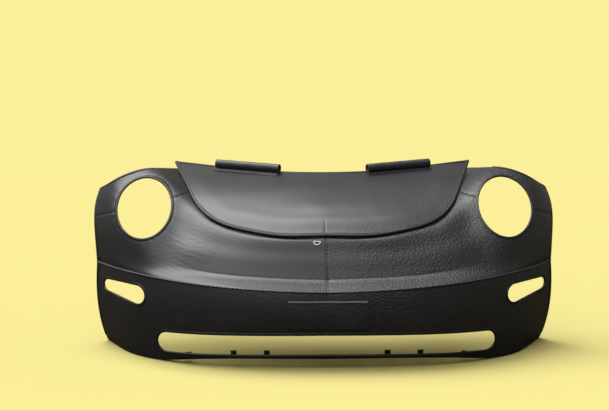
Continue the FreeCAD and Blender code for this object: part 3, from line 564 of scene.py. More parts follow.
# %% Soft unevenness
rng = np.random.default_rng(7)
WAVES = []
for wavelength, height in ((0.26, 0.0008), (0.13, 0.00022), (0.06, 0.00005)):
    for _ in range(6):
        heading = unit(rng.normal(size=3)) * 2 * math.pi / wavelength
        WAVES.append((heading, rng.uniform(0, 2 * math.pi), height))


def unevenness(p):
    return sum(height * np.sin(p @ wave + phase) for wave, phase, height in WAVES) / math.sqrt(3)


def ramp(value, low, high):
    t = np.clip((value - low) / (high - low), 0, 1)
    return t * t * (3 - 2 * t)


# The swell beside a seam: its share of the valley's depth, and its place and spread in valley widths
BESIDE_SHARE, BESIDE_AT, BESIDE_SPREAD = 0.35, 2.4, 1.2


def groove(distance, width, depth):
    """Drawn-in vinyl beside a seam: a narrow valley with a low swell next to it."""
    d = np.abs(distance) / width
    swell = BESIDE_SHARE * depth * np.exp(-((d - BESIDE_AT) / BESIDE_SPREAD) ** 2)
    return -depth * np.exp(-d * d) + swell


def dressed(surface, a, b, steps, mirrored, shape):
    """The surface's points moved along their normals by shape, which sees the true side of each point."""
    p = surface(a, b)
    n = facing(surface, a, b, steps)
    true = p * np.array([-1 if mirrored else 1, 1, 1])
    return p + n * shape(true, p, a, b)[..., None]


# %% [markdown]
# Where vinyl is pulled round a bend it folds into fine crinkles. They could be a bump pattern only, but that
# casts no shadows and leaves the outline flat, so the larger ones are short waves in the mesh, laid in a few
# spots where such a cover is stretched.

# %% Crinkles in a few spots
# Each spot: where it is, across and up, how wide it is, and how strong
CRINKLE_SPOTS = [(-0.46, 0.35, 0.070, 1.0), (-0.56, 0.39, 0.060, 0.9), (-0.40, 0.44, 0.050, 0.5),
                 (0.52, 0.33, 0.090, 1.0), (0.30, 0.36, 0.080, 0.6), (0.44, 0.43, 0.060, 0.8),
                 (0.06, 0.33, 0.040, 0.6), (-0.20, 0.22, 0.080, 0.5), (0.25, 0.20, 0.100, 0.4)]
CRINKLE_HEIGHT = 0.00013
RIPPLES = []
for wavelength in (0.024, 0.020, 0.017, 0.015, 0.0135, 0.012):
    lean = rng.uniform(-0.55, 0.55)
    way = np.array([math.sin(lean), 0.3 * rng.uniform(-1, 1), math.cos(lean)])
    RIPPLES.append((way * 2 * math.pi / wavelength, rng.uniform(0, 2 * math.pi)))
print(len(WAVES), "wide waves and", len(RIPPLES), "short ones")


def crinkles(true):
    spread = sum(weight * np.exp(-((true[..., 0] - x) ** 2 + (true[..., 2] - z) ** 2) / size ** 2)
                 for x, z, size, weight in CRINKLE_SPOTS)
    return CRINKLE_HEIGHT * spread * sum(np.sin(true @ way + phase) for way, phase in RIPPLES) / 2


# %% [markdown]
# The flat size of every skin is measured on the finished grid: the longest row and the longest column, and
# the area of its faces. It is printed.


def declare_stretched(piece, points, keep):
    rows = (np.linalg.norm(np.diff(points, axis=0), axis=-1)[:, :-1] * keep).sum(axis=0).max()
    columns = (np.linalg.norm(np.diff(points, axis=1), axis=-1)[:-1] * keep).sum(axis=1).max()
    p = points.reshape(-1, 3)[grid_faces(keep)]
    area = 0.5 * np.linalg.norm(np.cross(p[:, 2] - p[:, 0], p[:, 3] - p[:, 1]), axis=1).sum()
    print(piece.name, "flat", round(rows, 3), "by", round(columns, 3), "area", round(area, 4))


# %% [markdown]
# The nose skin has a sharp fold at the back of its ledge, a felled seam in the middle with puckers beside
# it, pleats round the headlight opening, and a lip that dips under the edge of the hood piece. Each is one
# small term that is added to the height of the skin. Sculpting them by hand would look as good, but a term
# has a width and a depth that can be changed later.

# %% Sizes of the nose skin's folds and seams
NOSE_STATIONS = np.r_[np.linspace(0, 0.022, 19)[:-1], np.linspace(0.022, 1, 236)]
NOSE_LEVELS = np.linspace(0, 1, 125)
LEDGE_LEVEL, FOLD_DEPTH, FOLD_WIDTH = LEVELS[2], 0.0030, 0.0055
SEAM_HALF, SEAM_DEPTH, SEAM_LINE = 0.0027, 0.0012, 0.0013
PUCKER, PUCKER_SHARE, PUCKER_AT, PUCKER_WIDTH = 0.0085, 0.15, 0.006, 0.011
DIP_DEPTH, DIP_WIDTH = 0.0004, 0.006
# The stations between which the fold and the dip fade out, and between which the crease gets deeper
FOLD_FADES, DIP_FADES, CREASE_DEEPENS = (0.34, 0.66), (0.66, 0.80), (0.28, 0.52)
PLEATS, PLEAT_HEIGHT, PLEAT_REACH = 21, 0.0004, 0.022
REACH, RIM_DEPTH = 0.0075, 0.0012
CREASE_DEPTH, CREASE_WIDTH, DEEPER_ASIDE, WIDER_ASIDE = 0.0012, 0.005, 0.0018, 0.006
SHORT_SEAM_WIDTH, SHORT_SEAM_DEPTH, SHORT_SEAM_FADES = 0.004, 0.0014, (0.3, 0.4)
MIDDLE_FADES, RIM_WIDTH = (0.02, 0.05), 0.0025


# %% Shape of the nose skin
def middle_seam(true, depth):
    """Two lines of sewing, with puckers that run out from them on the right."""
    x, z = true[..., 0], true[..., 2]
    lines = np.exp(-((x - SEAM_HALF) / SEAM_LINE) ** 2) + np.exp(-((x + SEAM_HALF) / SEAM_LINE) ** 2)
    ripple = PUCKER_SHARE * np.cos(2 * math.pi * z / PUCKER + 9 * np.sin(z * 41))
    return depth * (ripple * np.exp(-((x - PUCKER_AT) / PUCKER_WIDTH) ** 2) - lines)


def nose_shape(true, p, station, level):
    from_fold = np.linalg.norm(p - nose_surface(station, LEDGE_LEVEL), axis=-1)
    fold = -FOLD_DEPTH * np.exp(-from_fold / FOLD_WIDTH) * (1 - ramp(station, *FOLD_FADES))
    from_crease = np.linalg.norm(p - nose_surface(station, 0.0), axis=-1)
    sides = ramp(station, *CREASE_DEEPENS)
    crease = (-(CREASE_DEPTH + DEEPER_ASIDE * sides)
              * np.exp(-(from_crease / (CREASE_WIDTH + WIDER_ASIDE * sides)) ** 2))
    under_hood = -off_hood_edge(p) - LIP_OUT * MM
    dip = (-DIP_DEPTH * (1 - ramp(under_hood, 0, DIP_WIDTH)) * ramp(level, 0.7, 0.9)
           * (1 - ramp(station, *DIP_FADES)))
    turn = np.arctan2(p[..., 2] - LAMP_UP, p[..., 0] - LAMP_ACROSS)
    pleats = (PLEAT_HEIGHT * np.cos(PLEATS * turn + 2 * np.sin(3 * turn))
              * np.exp(-np.abs(off_lamp(p)) / PLEAT_REACH))
    seam = groove(off_seam(p), SHORT_SEAM_WIDTH, SHORT_SEAM_DEPTH) * ramp(station, *SHORT_SEAM_FADES)
    sewn = -RIM_DEPTH * np.exp(-((off_lamp(p) - REACH - 0.001) / RIM_WIDTH) ** 2)
    return (unevenness(true) + crinkles(true) + fold + crease + dip + pleats + seam + sewn
            + middle_seam(true, SEAM_DEPTH) * (1 - ramp(station, *MIDDLE_FADES)))


# %% Nose and fender panels
for side, mirrored in SIDES:
    for part, fields in (("nose", [off_lamp, off_arch, off_fender, off_seam]),
                         ("fender", [off_lamp, off_arch, off_fender, lambda p: -off_seam(p)])):
        a, b, keep = trimmed(nose_surface, NOSE_STATIONS, NOSE_LEVELS, fields)
        points = dressed(nose_surface, a, b, RIB_STEP, mirrored, nose_shape)
        piece = skin(f"{part}_skin_{side}", points, grid_faces(keep), VINYL_SKIN, LINING, mirrored)
        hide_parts(f"{part}_panel_{side}")
        declare_stretched(piece, points, keep)


# %% [markdown]
# The flap of the lower piece that lies under the hood piece starts where the nose skin ends, so its first
# row of points is the nose skin's own last row. The rest follows the underside of the hood piece. Built as a
# piece of its own with a gap between, it would let light through.

# %% Flap under the hood piece
TUCK_TO = 0.85
TUCK_ROWS = [(-2.5, 2.8), (0.5, 1.3), (4.0, 0.4), (12.0, 0.0), (23.0, 0.0), (34.0, 0.0)]
edge_at = smooth_curve([(place,) for place in HOOD_EDGE_AT], STATIONS[:len(HOOD_EDGE_AT)])
stations = np.linspace(0, TUCK_TO, 150)
for side, mirrored in SIDES:
    rows = [dressed(nose_surface, stations, np.ones(len(stations)), RIB_STEP, mirrored, nose_shape)]
    for inward, deeper in TUCK_ROWS:
        place = beside_hood_edge(edge_at(stations)[:, 0], inward)
        up = facing(hood_surface, place[:, 0], place[:, 1], PLAN_STEP)
        rows.append(hood_surface(place[:, 0], place[:, 1]) - up * (UNDER_HOOD + deeper) * MM)
    grid = np.stack(rows, axis=1)
    keep = np.ones((len(stations) - 1, len(rows) - 1), bool)
    piece = skin(f"tuck_skin_{side}", grid, grid_faces(keep), VINYL_SKIN, LINING, mirrored)
    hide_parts(f"tuck_flap_{side}")
    declare_stretched(piece, grid, keep)


# %% [markdown]
# The bumper band is one skin for each half, from the hem up to the crease. It has the same unevenness as the
# nose, and only a faint middle seam, because a wide tape behind it keeps it flat.

# %% Bumper panels
BUMPER_STATIONS = np.r_[np.linspace(0, 0.022, 13)[:-1], np.linspace(0.022, 1, 220)]
FAINT_SEAM, ABOVE_GRILLE = 0.0006, (0.45, 0.55)


def bumper_shape(true, p, station, level):
    seam = (middle_seam(true, FAINT_SEAM) * (1 - ramp(station, *MIDDLE_FADES))
            * ramp(level, *ABOVE_GRILLE))
    return unevenness(true) + crinkles(true) + seam


for side, mirrored in SIDES:
    a, b, keep = trimmed(bumper_surface, BUMPER_STATIONS, np.linspace(0.01, 1, 67),
                         [off_signal, off_grille, off_arch])
    points = dressed(bumper_surface, a, b, RIB_STEP, mirrored, bumper_shape)
    piece = skin(f"bumper_skin_{side}", points, grid_faces(keep), VINYL_SKIN, LINING, mirrored)
    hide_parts(f"bumper_panel_{side}")
    declare_stretched(piece, points, keep)


# %% [markdown]
# The hood piece is one large skin, held by its corners and its two tubes. It is smoother than the rest. A
# small bulge rises in its middle, a low swell follows its front edge, where the tape draws it in, and a short
# crease runs up from that edge. A bump pattern could imitate these in the light, but not in the outline.

# %% Hood piece
BULGE_AT, BULGE_HEIGHT, BULGE_WIDTH = (-0.02, -0.10), 0.0022, 0.05
PINCH_AT, PINCH_DEPTH, PINCH_WIDTH, PINCH_FADES = -0.004, 0.0011, 0.003, (0.02, 0.07)
SWELL_HEIGHT, SWELL_FROM_EDGE, SWELL_WIDTH, SWELL_REACH = 0.0042, 0.050, 0.028, 0.30


def hood_shape(true, p, across, back):
    bulge = BULGE_HEIGHT * np.exp(-((true[..., 0] - BULGE_AT[0]) ** 2 + (true[..., 1] - BULGE_AT[1]) ** 2)
                                  / BULGE_WIDTH ** 2)
    from_edge = true[..., 1] - HOOD_LINE[0][1]
    pinch = (-PINCH_DEPTH * np.exp(-((true[..., 0] - PINCH_AT) / PINCH_WIDTH) ** 2)
             * (1 - ramp(from_edge, *PINCH_FADES)))
    swell = SWELL_HEIGHT * np.exp(-((off_hood_edge(p) - SWELL_FROM_EDGE) / SWELL_WIDTH) ** 2
                                  - (true[..., 0] / SWELL_REACH) ** 2)
    return unevenness(true) + bulge + swell + pinch


HOOD_STATIONS = np.r_[np.linspace(-550, -14, 120)[:-1], np.linspace(-14, 14, 21),
                      np.linspace(14, 550, 120)[1:]]
across, back, keep = trimmed(hood_surface, HOOD_STATIONS, np.linspace(140, 730, 131),
                             [off_hood_edge, off_top_edge])
points = dressed(hood_surface, across, back, PLAN_STEP, False, hood_shape)
hood_skin = skin("hood_skin", points, grid_faces(keep), HOOD_VINYL, LINING)
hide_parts("hood_panel")
declare_stretched(hood_skin, points, keep)
print("hood faces", len(hood_skin.data.polygons))

# %% [markdown]
# Every cut edge is bound: a tape is folded round it and sewn through. It is swept along the edge with a
# rounded profile, a little puffed between its stitches, and its thread lies in short dashes on top. A bevel
# on the skin would be quicker, but it would have neither the tape's own finish nor its puffs.

# %% Sweeping along an edge
def path_directions(path, closed):
    if closed:
        way = np.roll(path, -1, axis=0) - np.roll(path, 1, axis=0)
    else:
        way = np.gradient(path, axis=0)
    return unit(way)


def evenly(path, step, closed, *others):
    """The path, and whatever goes with it, at even distances of about step."""
    if closed:
        path = np.vstack([path, path[:1]])
        others = [np.vstack([o, o[:1]]) for o in others]
    length = np.r_[0, np.cumsum(np.linalg.norm(np.diff(path, axis=0), axis=1))]
    count = max(int(round(length[-1] / step)), 2)
    where = np.linspace(0, length[-1], count + 1)
    if closed:
        where = where[:-1]
    result = [np.stack([np.interp(where, length, values[:, k]) for k in range(values.shape[1])], axis=1)
              for values in (path, *others)]
    return result + [length[-1]]


def swept(name, path, side, out, profile, material, closed=False, mirrored=False, swell=None, ring=False):
    """A strip whose section is profile, a list of (side, out) distances, at each point of the path.

    With ring, the section is closed and the ends are capped.
    """
    profile = np.array(profile)
    scale = np.ones(len(path)) if swell is None else swell
    points = (path[:, None, :] + side[:, None, :] * profile[None, :, :1]
              + out[:, None, :] * profile[None, :, 1:] * scale[:, None, None])
    rows, columns = len(path), len(profile)
    faces = []
    for i in range(rows if closed else rows - 1):
        j = (i + 1) % rows
        for k in range(columns if ring else columns - 1):
            m = (k + 1) % columns
            faces.append((i * columns + k, j * columns + k, j * columns + m, i * columns + m))
    if ring:
        faces += [tuple(range(columns)), tuple(range(rows * columns - 1, (rows - 1) * columns - 1, -1))]
    return mesh_piece(name, points.reshape(-1, 3), faces, material, mirrored)


# %% Stitches
STITCH, STITCH_GAP, THREAD_RADIUS, THREAD_SIDES = 0.0045, 0.0022, 0.0006, 6
# Each ring of a stitch: its place along the stitch, its size, and how far it is lifted, in radii
STITCH_RINGS = [(-0.5, 0.35, -0.6), (-0.36, 0.95, 0.25), (0.0, 1.1, 0.6), (0.36, 0.95, 0.25),
                (0.5, 0.35, -0.6)]


def ring_turns(count):
    """Angles of points that are spread evenly round a circle."""
    return np.linspace(0, 2 * math.pi, count + 1)[:-1]


def ring_faces(rows, columns):
    """Quads between the rings of a closed section, for points that are counted ring by ring."""
    return [(i + k, i + (k + 1) % columns, i + columns + (k + 1) % columns, i + columns + k)
            for i in range(0, (rows - 1) * columns, columns) for k in range(columns)]


# %% Rows of stitches
def stitch_row(path, out, closed=False, length=STITCH, gap=STITCH_GAP, radius=THREAD_RADIUS, slant=0.0):
    """Dashes of thread along a path: each is a short six-sided bead, tapered where it dives in."""
    path, out, _ = evenly(path, length + gap, closed, out)
    way = path_directions(path, closed)
    out = unit(out)
    way = unit(way * math.cos(slant) + np.cross(way, out) * math.sin(slant))
    aside = unit(np.cross(way, out))
    turns = ring_turns(THREAD_SIDES)
    points, faces = [], []
    for p, w, o, s in zip(path, way, out, aside):
        start = len(points)
        for along, size, lift in STITCH_RINGS:
            for turn in turns:
                points.append(p + w * along * length + o * radius * (lift + size * math.sin(turn))
                              + s * radius * size * math.cos(turn))
        faces += [tuple(start + k for k in face) for face in ring_faces(len(STITCH_RINGS), THREAD_SIDES)]
    return points, faces


# The piping's stitches are grey thread, a painted highlight along its crest.
THREADS = {"right": THREAD, "left": THREAD, "middle": THREAD, "piping_right": HIGHLIGHT_THREAD,
           "piping_left": HIGHLIGHT_THREAD}
stitch_points, stitch_faces = {row: [] for row in THREADS}, {row: [] for row in THREADS}


def sew(where, path, out, mirrored=False, closed=False, **sizes):
    """A row of stitches for one of the thread pieces, on the side that mirrored says."""
    true = FLIP if mirrored else np.ones(3)
    points, faces = stitch_row(path * true, out * true, closed, **sizes)
    start = len(stitch_points[where])
    stitch_points[where] += points
    stitch_faces[where] += [tuple(k + start for k in face) for face in faces]


# %% Bound edges
TAPE_PROFILE = [(REACH, -0.0004), (REACH, 0.0010), (REACH - 0.0008, 0.0016), (0.0045, 0.0018),
                (0.002, 0.0021), (0.0, 0.0019), (-0.0012, 0.0009), (-0.0018, -0.0012), (-0.0014, -0.0034),
                (0.0, -0.0046), (0.002, -0.0048), (REACH - 0.0008, -0.0046), (REACH, -0.0038),
                (REACH, -0.0026)]
# The hood piece's edge is fuller: a sewn valley, and then a roll that overhangs the gap to the nose.
ROLL_PROFILE = [(0.0098, -0.0004), (0.0098, 0.0008), (0.0090, 0.0014), (0.0074, 0.0014), (0.0062, 0.0002),
                (0.0050, 0.0012), (0.0030, 0.0024), (0.0006, 0.0026), (-0.0020, 0.0017), (-0.0038, 0.0),
                (-0.0046, -0.0022), (-0.0040, -0.0044), (-0.0020, -0.0056), (0.0010, -0.0057),
                (0.0075, -0.0052), (0.0080, -0.0036)]
PUFF = 0.10


def bound_edge(name, path, side, out, nodes, closed=False, mirrored=False, where="right",
               profile=TAPE_PROFILE, thread_at=(0.0045, 0.0018)):
    """Tape folded round an edge, puffed a little between its stitches, and its line of thread."""
    path, side, out, length = evenly(path, (STITCH + STITCH_GAP) / 4, closed, side, out)
    side, out = unit(side), unit(out)
    swell = 1 + PUFF * np.cos(2 * math.pi * np.arange(len(path)) / 4)
    piece = swept(name, path, side, out, profile, TAPE_SKIN, closed, mirrored, swell)
    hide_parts(*nodes)
    sew(where, path + side * thread_at[0] + out * thread_at[1], out, mirrored, closed)
    print(name, "binds", round(length, 3), "m of edge")
    return piece


# %% Finding places on a surface
NEWTON_STEPS, SIDE_PROBE = 8, 0.004


def found(surface, targets, axes, low, high):
    """Surface parameters whose points have the wanted two coordinates, by a coarse look and Newton steps."""
    a, b = np.meshgrid(np.linspace(low[0], high[0], 81), np.linspace(low[1], high[1], 61), indexing="ij")
    coarse = surface(a, b)[..., axes].reshape(-1, 2)
    a, b = a.ravel(), b.ravel()
    nearest = np.argmin(((targets[:, None, :] - coarse[None]) ** 2).sum(-1), axis=1)
    x, y = a[nearest], b[nearest]
    step = 1e-4 * (high[0] - low[0])
    for _ in range(NEWTON_STEPS):
        here = surface(x, y)[..., axes]
        dx = (surface(x + step, y)[..., axes] - here) / step
        dy = (surface(x, y + step)[..., axes] - here) / step
        miss = targets - here
        det = dx[:, 0] * dy[:, 1] - dx[:, 1] * dy[:, 0]
        x = x + (miss[:, 0] * dy[:, 1] - miss[:, 1] * dy[:, 0]) / det
        y = y + (dx[:, 0] * miss[:, 1] - dx[:, 1] * miss[:, 0]) / det
    return x, y


def edge_frame(surface, a, b, steps, field, closed):
    """Path, direction into the panel and outward direction along an edge."""
    path, out = surface(a, b), facing(surface, a, b, steps)
    side = unit(np.cross(out, path_directions(path, closed)))
    sign = np.sign(field(path + side * SIDE_PROBE) - field(path - side * SIDE_PROBE))
    return path, side * sign[:, None], out


def arc(centre, radius, start, end, count):
    angles = np.linspace(start, end, count)
    return np.stack([centre[0] + radius * np.cos(angles), centre[1] + radius * np.sin(angles)], axis=1)


# %% Headlight, turn signal and grille openings
lamp_outline = arc((LAMP_ACROSS, LAMP_UP), LAMP_RADIUS, 0, 2 * math.pi, 161)[:-1]
along = SIGNAL_SMALL - SIGNAL_BIG
heading = math.atan2(along[1], along[0])
lean = math.acos((SIGNAL_BIG_RADIUS - SIGNAL_SMALL_RADIUS) / np.linalg.norm(along))
signal_outline = np.vstack([
    arc(SIGNAL_SMALL, SIGNAL_SMALL_RADIUS, heading - lean, heading + lean, 20),
    arc(SIGNAL_BIG, SIGNAL_BIG_RADIUS, heading + lean, heading + 2 * math.pi - lean, 30)])
AXES_FRONT = [0, 2]
for side, mirrored in SIDES:
    a, b = found(nose_surface, lamp_outline, AXES_FRONT, (0.5, 0.1), (1.0, 1.0))
    bound_edge(f"lamp_tape_{side}", *edge_frame(nose_surface, a, b, RIB_STEP, off_lamp, True),
               [f"lamp_binding_{side}"], True, mirrored, side)
    a, b = found(bumper_surface, signal_outline, AXES_FRONT, (0.5, 0.3), (1.0, 1.0))
    bound_edge(f"signal_tape_{side}", *edge_frame(bumper_surface, a, b, RIB_STEP, off_signal, True),
               [f"signal_binding_{side}"], True, mirrored, side)

end = (GRILLE_TOP - GRILLE_BOTTOM) / 2
straight = GRILLE_HALF - end
x = np.linspace(0, straight, 60)
top_line = np.stack([x, GRILLE_TOP - grille_drop(x)], axis=1)
low_line = np.stack([x, GRILLE_BOTTOM - grille_drop(x)], axis=1)[::-1]
round_end = arc((straight, (GRILLE_TOP + GRILLE_BOTTOM) / 2 - GRILLE_SAG), end,
                math.pi / 2, -math.pi / 2, 24)
grille_outline = np.vstack([top_line[:-1], round_end[:-1], low_line])
a, b = found(bumper_surface, grille_outline, AXES_FRONT, (-0.02, -0.1), (0.9, 0.8))
path, side_way, out = edge_frame(bumper_surface, a, b, RIB_STEP, off_grille, False)
path = np.vstack([path, (path * FLIP)[-2:0:-1]])
side_way = np.vstack([side_way, (side_way * FLIP)[-2:0:-1]])
out = np.vstack([out, (out * FLIP)[-2:0:-1]])
bound_edge("grille_tape", path, side_way, out, ["grille_binding"], closed=True, where="middle")

# %% Hood piece edges
whole = np.linspace(-(len(HOOD_EDGE) - 1), len(HOOD_EDGE) - 1, 301)
place = hood_edge(whole)
on_edge = edge_frame(hood_surface, place[:, 0], place[:, 1], PLAN_STEP, off_hood_edge, False)
bound_edge("hood_edge_tape", *on_edge, ["hood_edge_binding"], where="middle", profile=ROLL_PROFILE,
           thread_at=(0.0062, 0.0003))
whole = np.linspace(-(len(TOP_EDGE) - 1), len(TOP_EDGE) - 1, 301)[4:-4]
place = top_edge(whole)
on_edge = edge_frame(hood_surface, place[:, 0], place[:, 1], PLAN_STEP, off_top_edge, False)
bound_edge("hood_top_tape", *on_edge, ["hood_top_binding"], where="middle")


# %% [markdown]
# The rear edge of the fender is bound like the openings. Along the wheel arch the vinyl is turned in instead,
# and eyelets hold it there. The turned lip could be one for each panel, but it is swept along both surfaces
# at once, so that it runs on over the crease without a step.

# %% Places along the rear fender edge and the wheel arch
def crossing(values, grid):
    """Where values first pass from positive to negative along the last axis, or NaN."""
    drop = (values[:, :-1] >= 0) & (values[:, 1:] < 0)
    has = drop.any(axis=1)
    k = drop.argmax(axis=1)
    rows = np.arange(len(values))
    near, far = values[rows, k], values[rows, k + 1]
    where = grid[k] + (grid[k + 1] - grid[k]) * near / (near - far)
    return np.where(has, where, np.nan)


stations, levels = np.linspace(0.75, 1.0, 160), np.linspace(0.3, 1.0, 260)
a, b = np.meshgrid(stations, levels, indexing="ij")
level_at = crossing(off_fender(nose_surface(a, b)), levels)
keep = ~np.isnan(level_at)
fender_a, fender_b = stations[keep], level_at[keep]
keep = off_arch(nose_surface(fender_a, fender_b)) >= 0
fender_a, fender_b = fender_a[keep], fender_b[keep]


def arch_places(surface, levels):
    """Stations and levels at which a surface meets the wheel arch."""
    stations = np.linspace(0.6, 1.0, 400)
    b, a = np.meshgrid(levels, stations, indexing="ij")
    meets_at = crossing(off_arch(surface(a, b)), stations)
    meets = ~np.isnan(meets_at)
    return meets_at[meets], levels[meets]


nose_arch = arch_places(nose_surface, np.linspace(0.0, fender_b[-1], 120))
bumper_arch = arch_places(bumper_surface, np.linspace(0.0, 1.0, 100))
print("places on the fender edge and the arch", len(fender_a), len(nose_arch[0]), len(bumper_arch[0]))

# %% Bound fender edge and turned-in arch lip
LIP, LIP_THICK, LIP_SEWN = 0.026, 0.0022, (0.011, 0.0004)
LIP_PROFILE = [(0.0034, 0.0002), (0.0022, 0.0), (0.0009, -0.0006), (0.0002, -0.002), (0.0, -0.004),
               (0.0004, -0.010), (0.0002, -0.018), (0.0, -LIP)]
for side, mirrored in SIDES:
    on_edge = edge_frame(nose_surface, fender_a, fender_b, RIB_STEP, off_fender, False)
    bound_edge(f"fender_tape_{side}", *on_edge, [f"fender_binding_{side}"], False, mirrored, side)
    low = edge_frame(bumper_surface, *bumper_arch, RIB_STEP, off_arch, False)
    high = edge_frame(nose_surface, *nose_arch, RIB_STEP, off_arch, False)
    path, inner, out = [np.vstack([lower, upper[1:]]) for lower, upper in zip(low, high)]
    path, inner, out, length = evenly(path, 0.004, False, inner, out)
    inner, out = unit(inner), unit(out)
    piece = swept(f"arch_fold_{side}", path, inner, out, LIP_PROFILE, VINYL_SKIN, False, mirrored)
    piece.data.materials.append(LINING)
    shell = piece.modifiers.new("thickness", "SOLIDIFY")
    shell.thickness, shell.offset = LIP_THICK, -1
    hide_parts(f"arch_lip_{side}")
    sew(side, path + inner * LIP_SEWN[0] + out * LIP_SEWN[1], out, mirrored)
    print("wheel arch fold", side, round(length, 3), "m")

# %% [markdown]
# At the bottom the vinyl is folded back and sewn, and hooks hang from the fold. The fold is a short skin of
# its own, because giving the bumper band a thickness doesn't turn its edge.

# %% Bottom hem
stations = np.linspace(0, 1, 300)
stations = stations[off_arch(bumper_surface(stations, np.zeros(len(stations)))) >= 0]
HEM_FOLD, HEM_THICK, HEM_SEWN = 0.024, 0.0025, (0.012, 0.0012)
# The fold, row by row from the face to its inner edge: up the face, off it, inwards, and lifted
HEM_ROWS = [(0.0034, 0.0002, 0.0, 0.0), (0.0012, -0.0004, 0.0, 0.0), (0.0, 0.0, 0.002, 0.0002),
            (0.0, 0.0, 0.010, 0.0003), (0.0, 0.0, HEM_FOLD, 0.0004)]
for side, mirrored in SIDES:
    a, b = stations, np.zeros(len(stations))
    path, out = bumper_surface(a, b), facing(bumper_surface, a, b, RIB_STEP)
    rise = unit(bumper_surface(a, b + 0.02) - path)
    level_out = unit(out * [1, 1, 0])
    rows = [path + rise * upward + out * off - level_out * inward + [0, 0, lifted]
            for upward, off, inward, lifted in HEM_ROWS]
    grid = np.stack(rows, axis=1)[:, ::-1]
    faces = grid_faces(np.ones((len(a) - 1, len(rows) - 1), bool))
    piece = skin(f"hem_fold_{side}", grid, faces, VINYL_SKIN, LINING, mirrored, thick=HEM_THICK)
    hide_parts(f"hem_turn_{side}")
    sew(side, path + rise * HEM_SEWN[0] + out * HEM_SEWN[1], out, mirrored)
    print("hem fold", side, "at", len(a), "places")

# %% [markdown]
# A cord is sewn into the crease, so that it stands out as piping. On the left its skin is pulled round it in
# slanted waves, as on a twisted rope, and on the right it lies smooth. It is a tube whose radius
# changes along a helix, and the helix is deep on the left and shallow on the right.

# %% Crease piping
ROPE_TURN, ROPE, ROPE_SIDES, RINGS_PER_TURN = 0.0130, 0.0029, 12, 12
TWIST, TWIST_GROWS = {"right": 0.03, "left": 0.34}, (0.12, 0.42)
PROUD, THREAD_CREST = 0.0006, 1.05
# Grey thread, a painted highlight: on the left, long slanted stitches with gaps; on the right, stitches so
# close that they draw a thin light line
SEWN_FROM = {"right": 0.30, "left": 0.16}
PIPING_STITCHES = {"right": {"length": 0.0060, "gap": 0.0006, "radius": 0.0007},
                   "left": {"length": 0.0066, "gap": 0.0064, "radius": 0.0008, "slant": 0.7}}
for side, mirrored in SIDES:
    a = np.linspace(0, 1, 400)
    a = a[off_arch(nose_surface(a, np.zeros(len(a)))) >= 0]
    path = nose_surface(a, np.zeros(len(a)))
    low = facing(bumper_surface, a, np.ones(len(a)), RIB_STEP)
    high = facing(nose_surface, a, np.zeros(len(a)), RIB_STEP)
    path, out, length = evenly(path, ROPE_TURN / RINGS_PER_TURN, False, unit(low + high))
    out = unit(out)
    aside = unit(np.cross(path_directions(path, False), out))
    turns = ring_turns(ROPE_SIDES)
    phase = 2 * math.pi * np.arange(len(path)) / RINGS_PER_TURN
    twist = TWIST[side] * ramp(np.abs(path[:, 0]), *TWIST_GROWS)
    radius = ROPE * (1 + twist[:, None] * np.cos(phase[:, None] + turns[None]))
    points = (path[:, None] + out[:, None] * (PROUD + radius * np.sin(turns))[..., None]
              + aside[:, None] * (radius * np.cos(turns))[..., None])
    faces = ring_faces(len(path), ROPE_SIDES)
    faces.append(tuple(range((len(path) - 1) * ROPE_SIDES, len(path) * ROPE_SIDES)))
    piece = mesh_piece(f"crease_piping_{side}", points.reshape(-1, 3), faces, VINYL_SKIN, mirrored)
    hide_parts(f"crease_welt_{side}")
    crest = path + out * (PROUD + ROPE * THREAD_CREST)
    sewn = np.abs(path[:, 0]) > SEWN_FROM[side]
    sew(f"piping_{side}", crest[sewn], out[sewn], mirrored, **PIPING_STITCHES[side])
    print("piping", side, round(length, 3), "m")

# %% [markdown]
# Two woven tapes are sewn behind the middle seam, where only the maker sees them. Each is a thin strip
# with rounded sides that follows the inner face of the skin.

# %% Tapes behind the middle seam
TAPE_HALF, TAPE_THICK = 0.011, 0.0016
TAPE_RANGES = {"nose": (nose_surface, 0.06, 0.90), "bumper": (bumper_surface, 0.50, 0.92)}


def flat_section(half, thick):
    """A closed section of a tape that lies on its inner face, with rounded sides."""
    return [(-half, 0.35 * thick), (-half + 0.3 * thick, 0.0), (half - 0.3 * thick, 0.0),
            (half, 0.35 * thick), (half - 0.1 * thick, 0.8 * thick), (half - 0.5 * thick, thick),
            (0.0, thick), (-half + 0.5 * thick, thick), (-half + 0.1 * thick, 0.8 * thick)]


for part, (surface, low, high) in TAPE_RANGES.items():
    b = np.linspace(low, high, 60)
    a = np.zeros(len(b))
    out = facing(surface, a, b, RIB_STEP)
    path = surface(a, b) - out * (VINYL + SEAT)
    aside = np.tile([1.0, 0.0, 0.0], (len(b), 1))
    section = flat_section(TAPE_HALF, TAPE_THICK)
    piece = swept(f"{part}_seam_strip", path, aside, -out, section, WEBBING, ring=True)
    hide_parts(f"{part}_seam_tape")
    print("tape behind the", part, "seam", len(piece.data.polygons), "faces")

# %% [markdown]
# The licence plate flap is a second layer of thin vinyl on the bumper band. Its top edge is folded over, and
# the fold is painted pale, a painted highlight that draws a thin light line. The rest lies flat and hardly
# shows.
# A pale line in the bumper's own finish would be simpler, but it would have no edge to catch the light.

# %% Licence plate flap
FLAP_HALF, FLAP_TOP, FLAP_LOW = 0.122, 0.219, 0.128
FLAP_LIFT, FLAP_END_LIFT, FLAP_WAVE = 0.0020, 0.0003, 0.0003
# The folded edge, row by row: how far below the top, and how far off the bumper band
FLAP_ROWS = [(0.0, 0.0003), (0.0, 0.0020), (0.0012, 0.0030), (0.0026, 0.0031), (0.0040, 0.0024),
             (0.0065, 0.0021)]


def bumper_level(across, up):
    targets = np.stack([across, up], axis=1)
    return found(bumper_surface, targets, AXES_FRONT, (-0.02, 0.1), (0.4, 1.0))


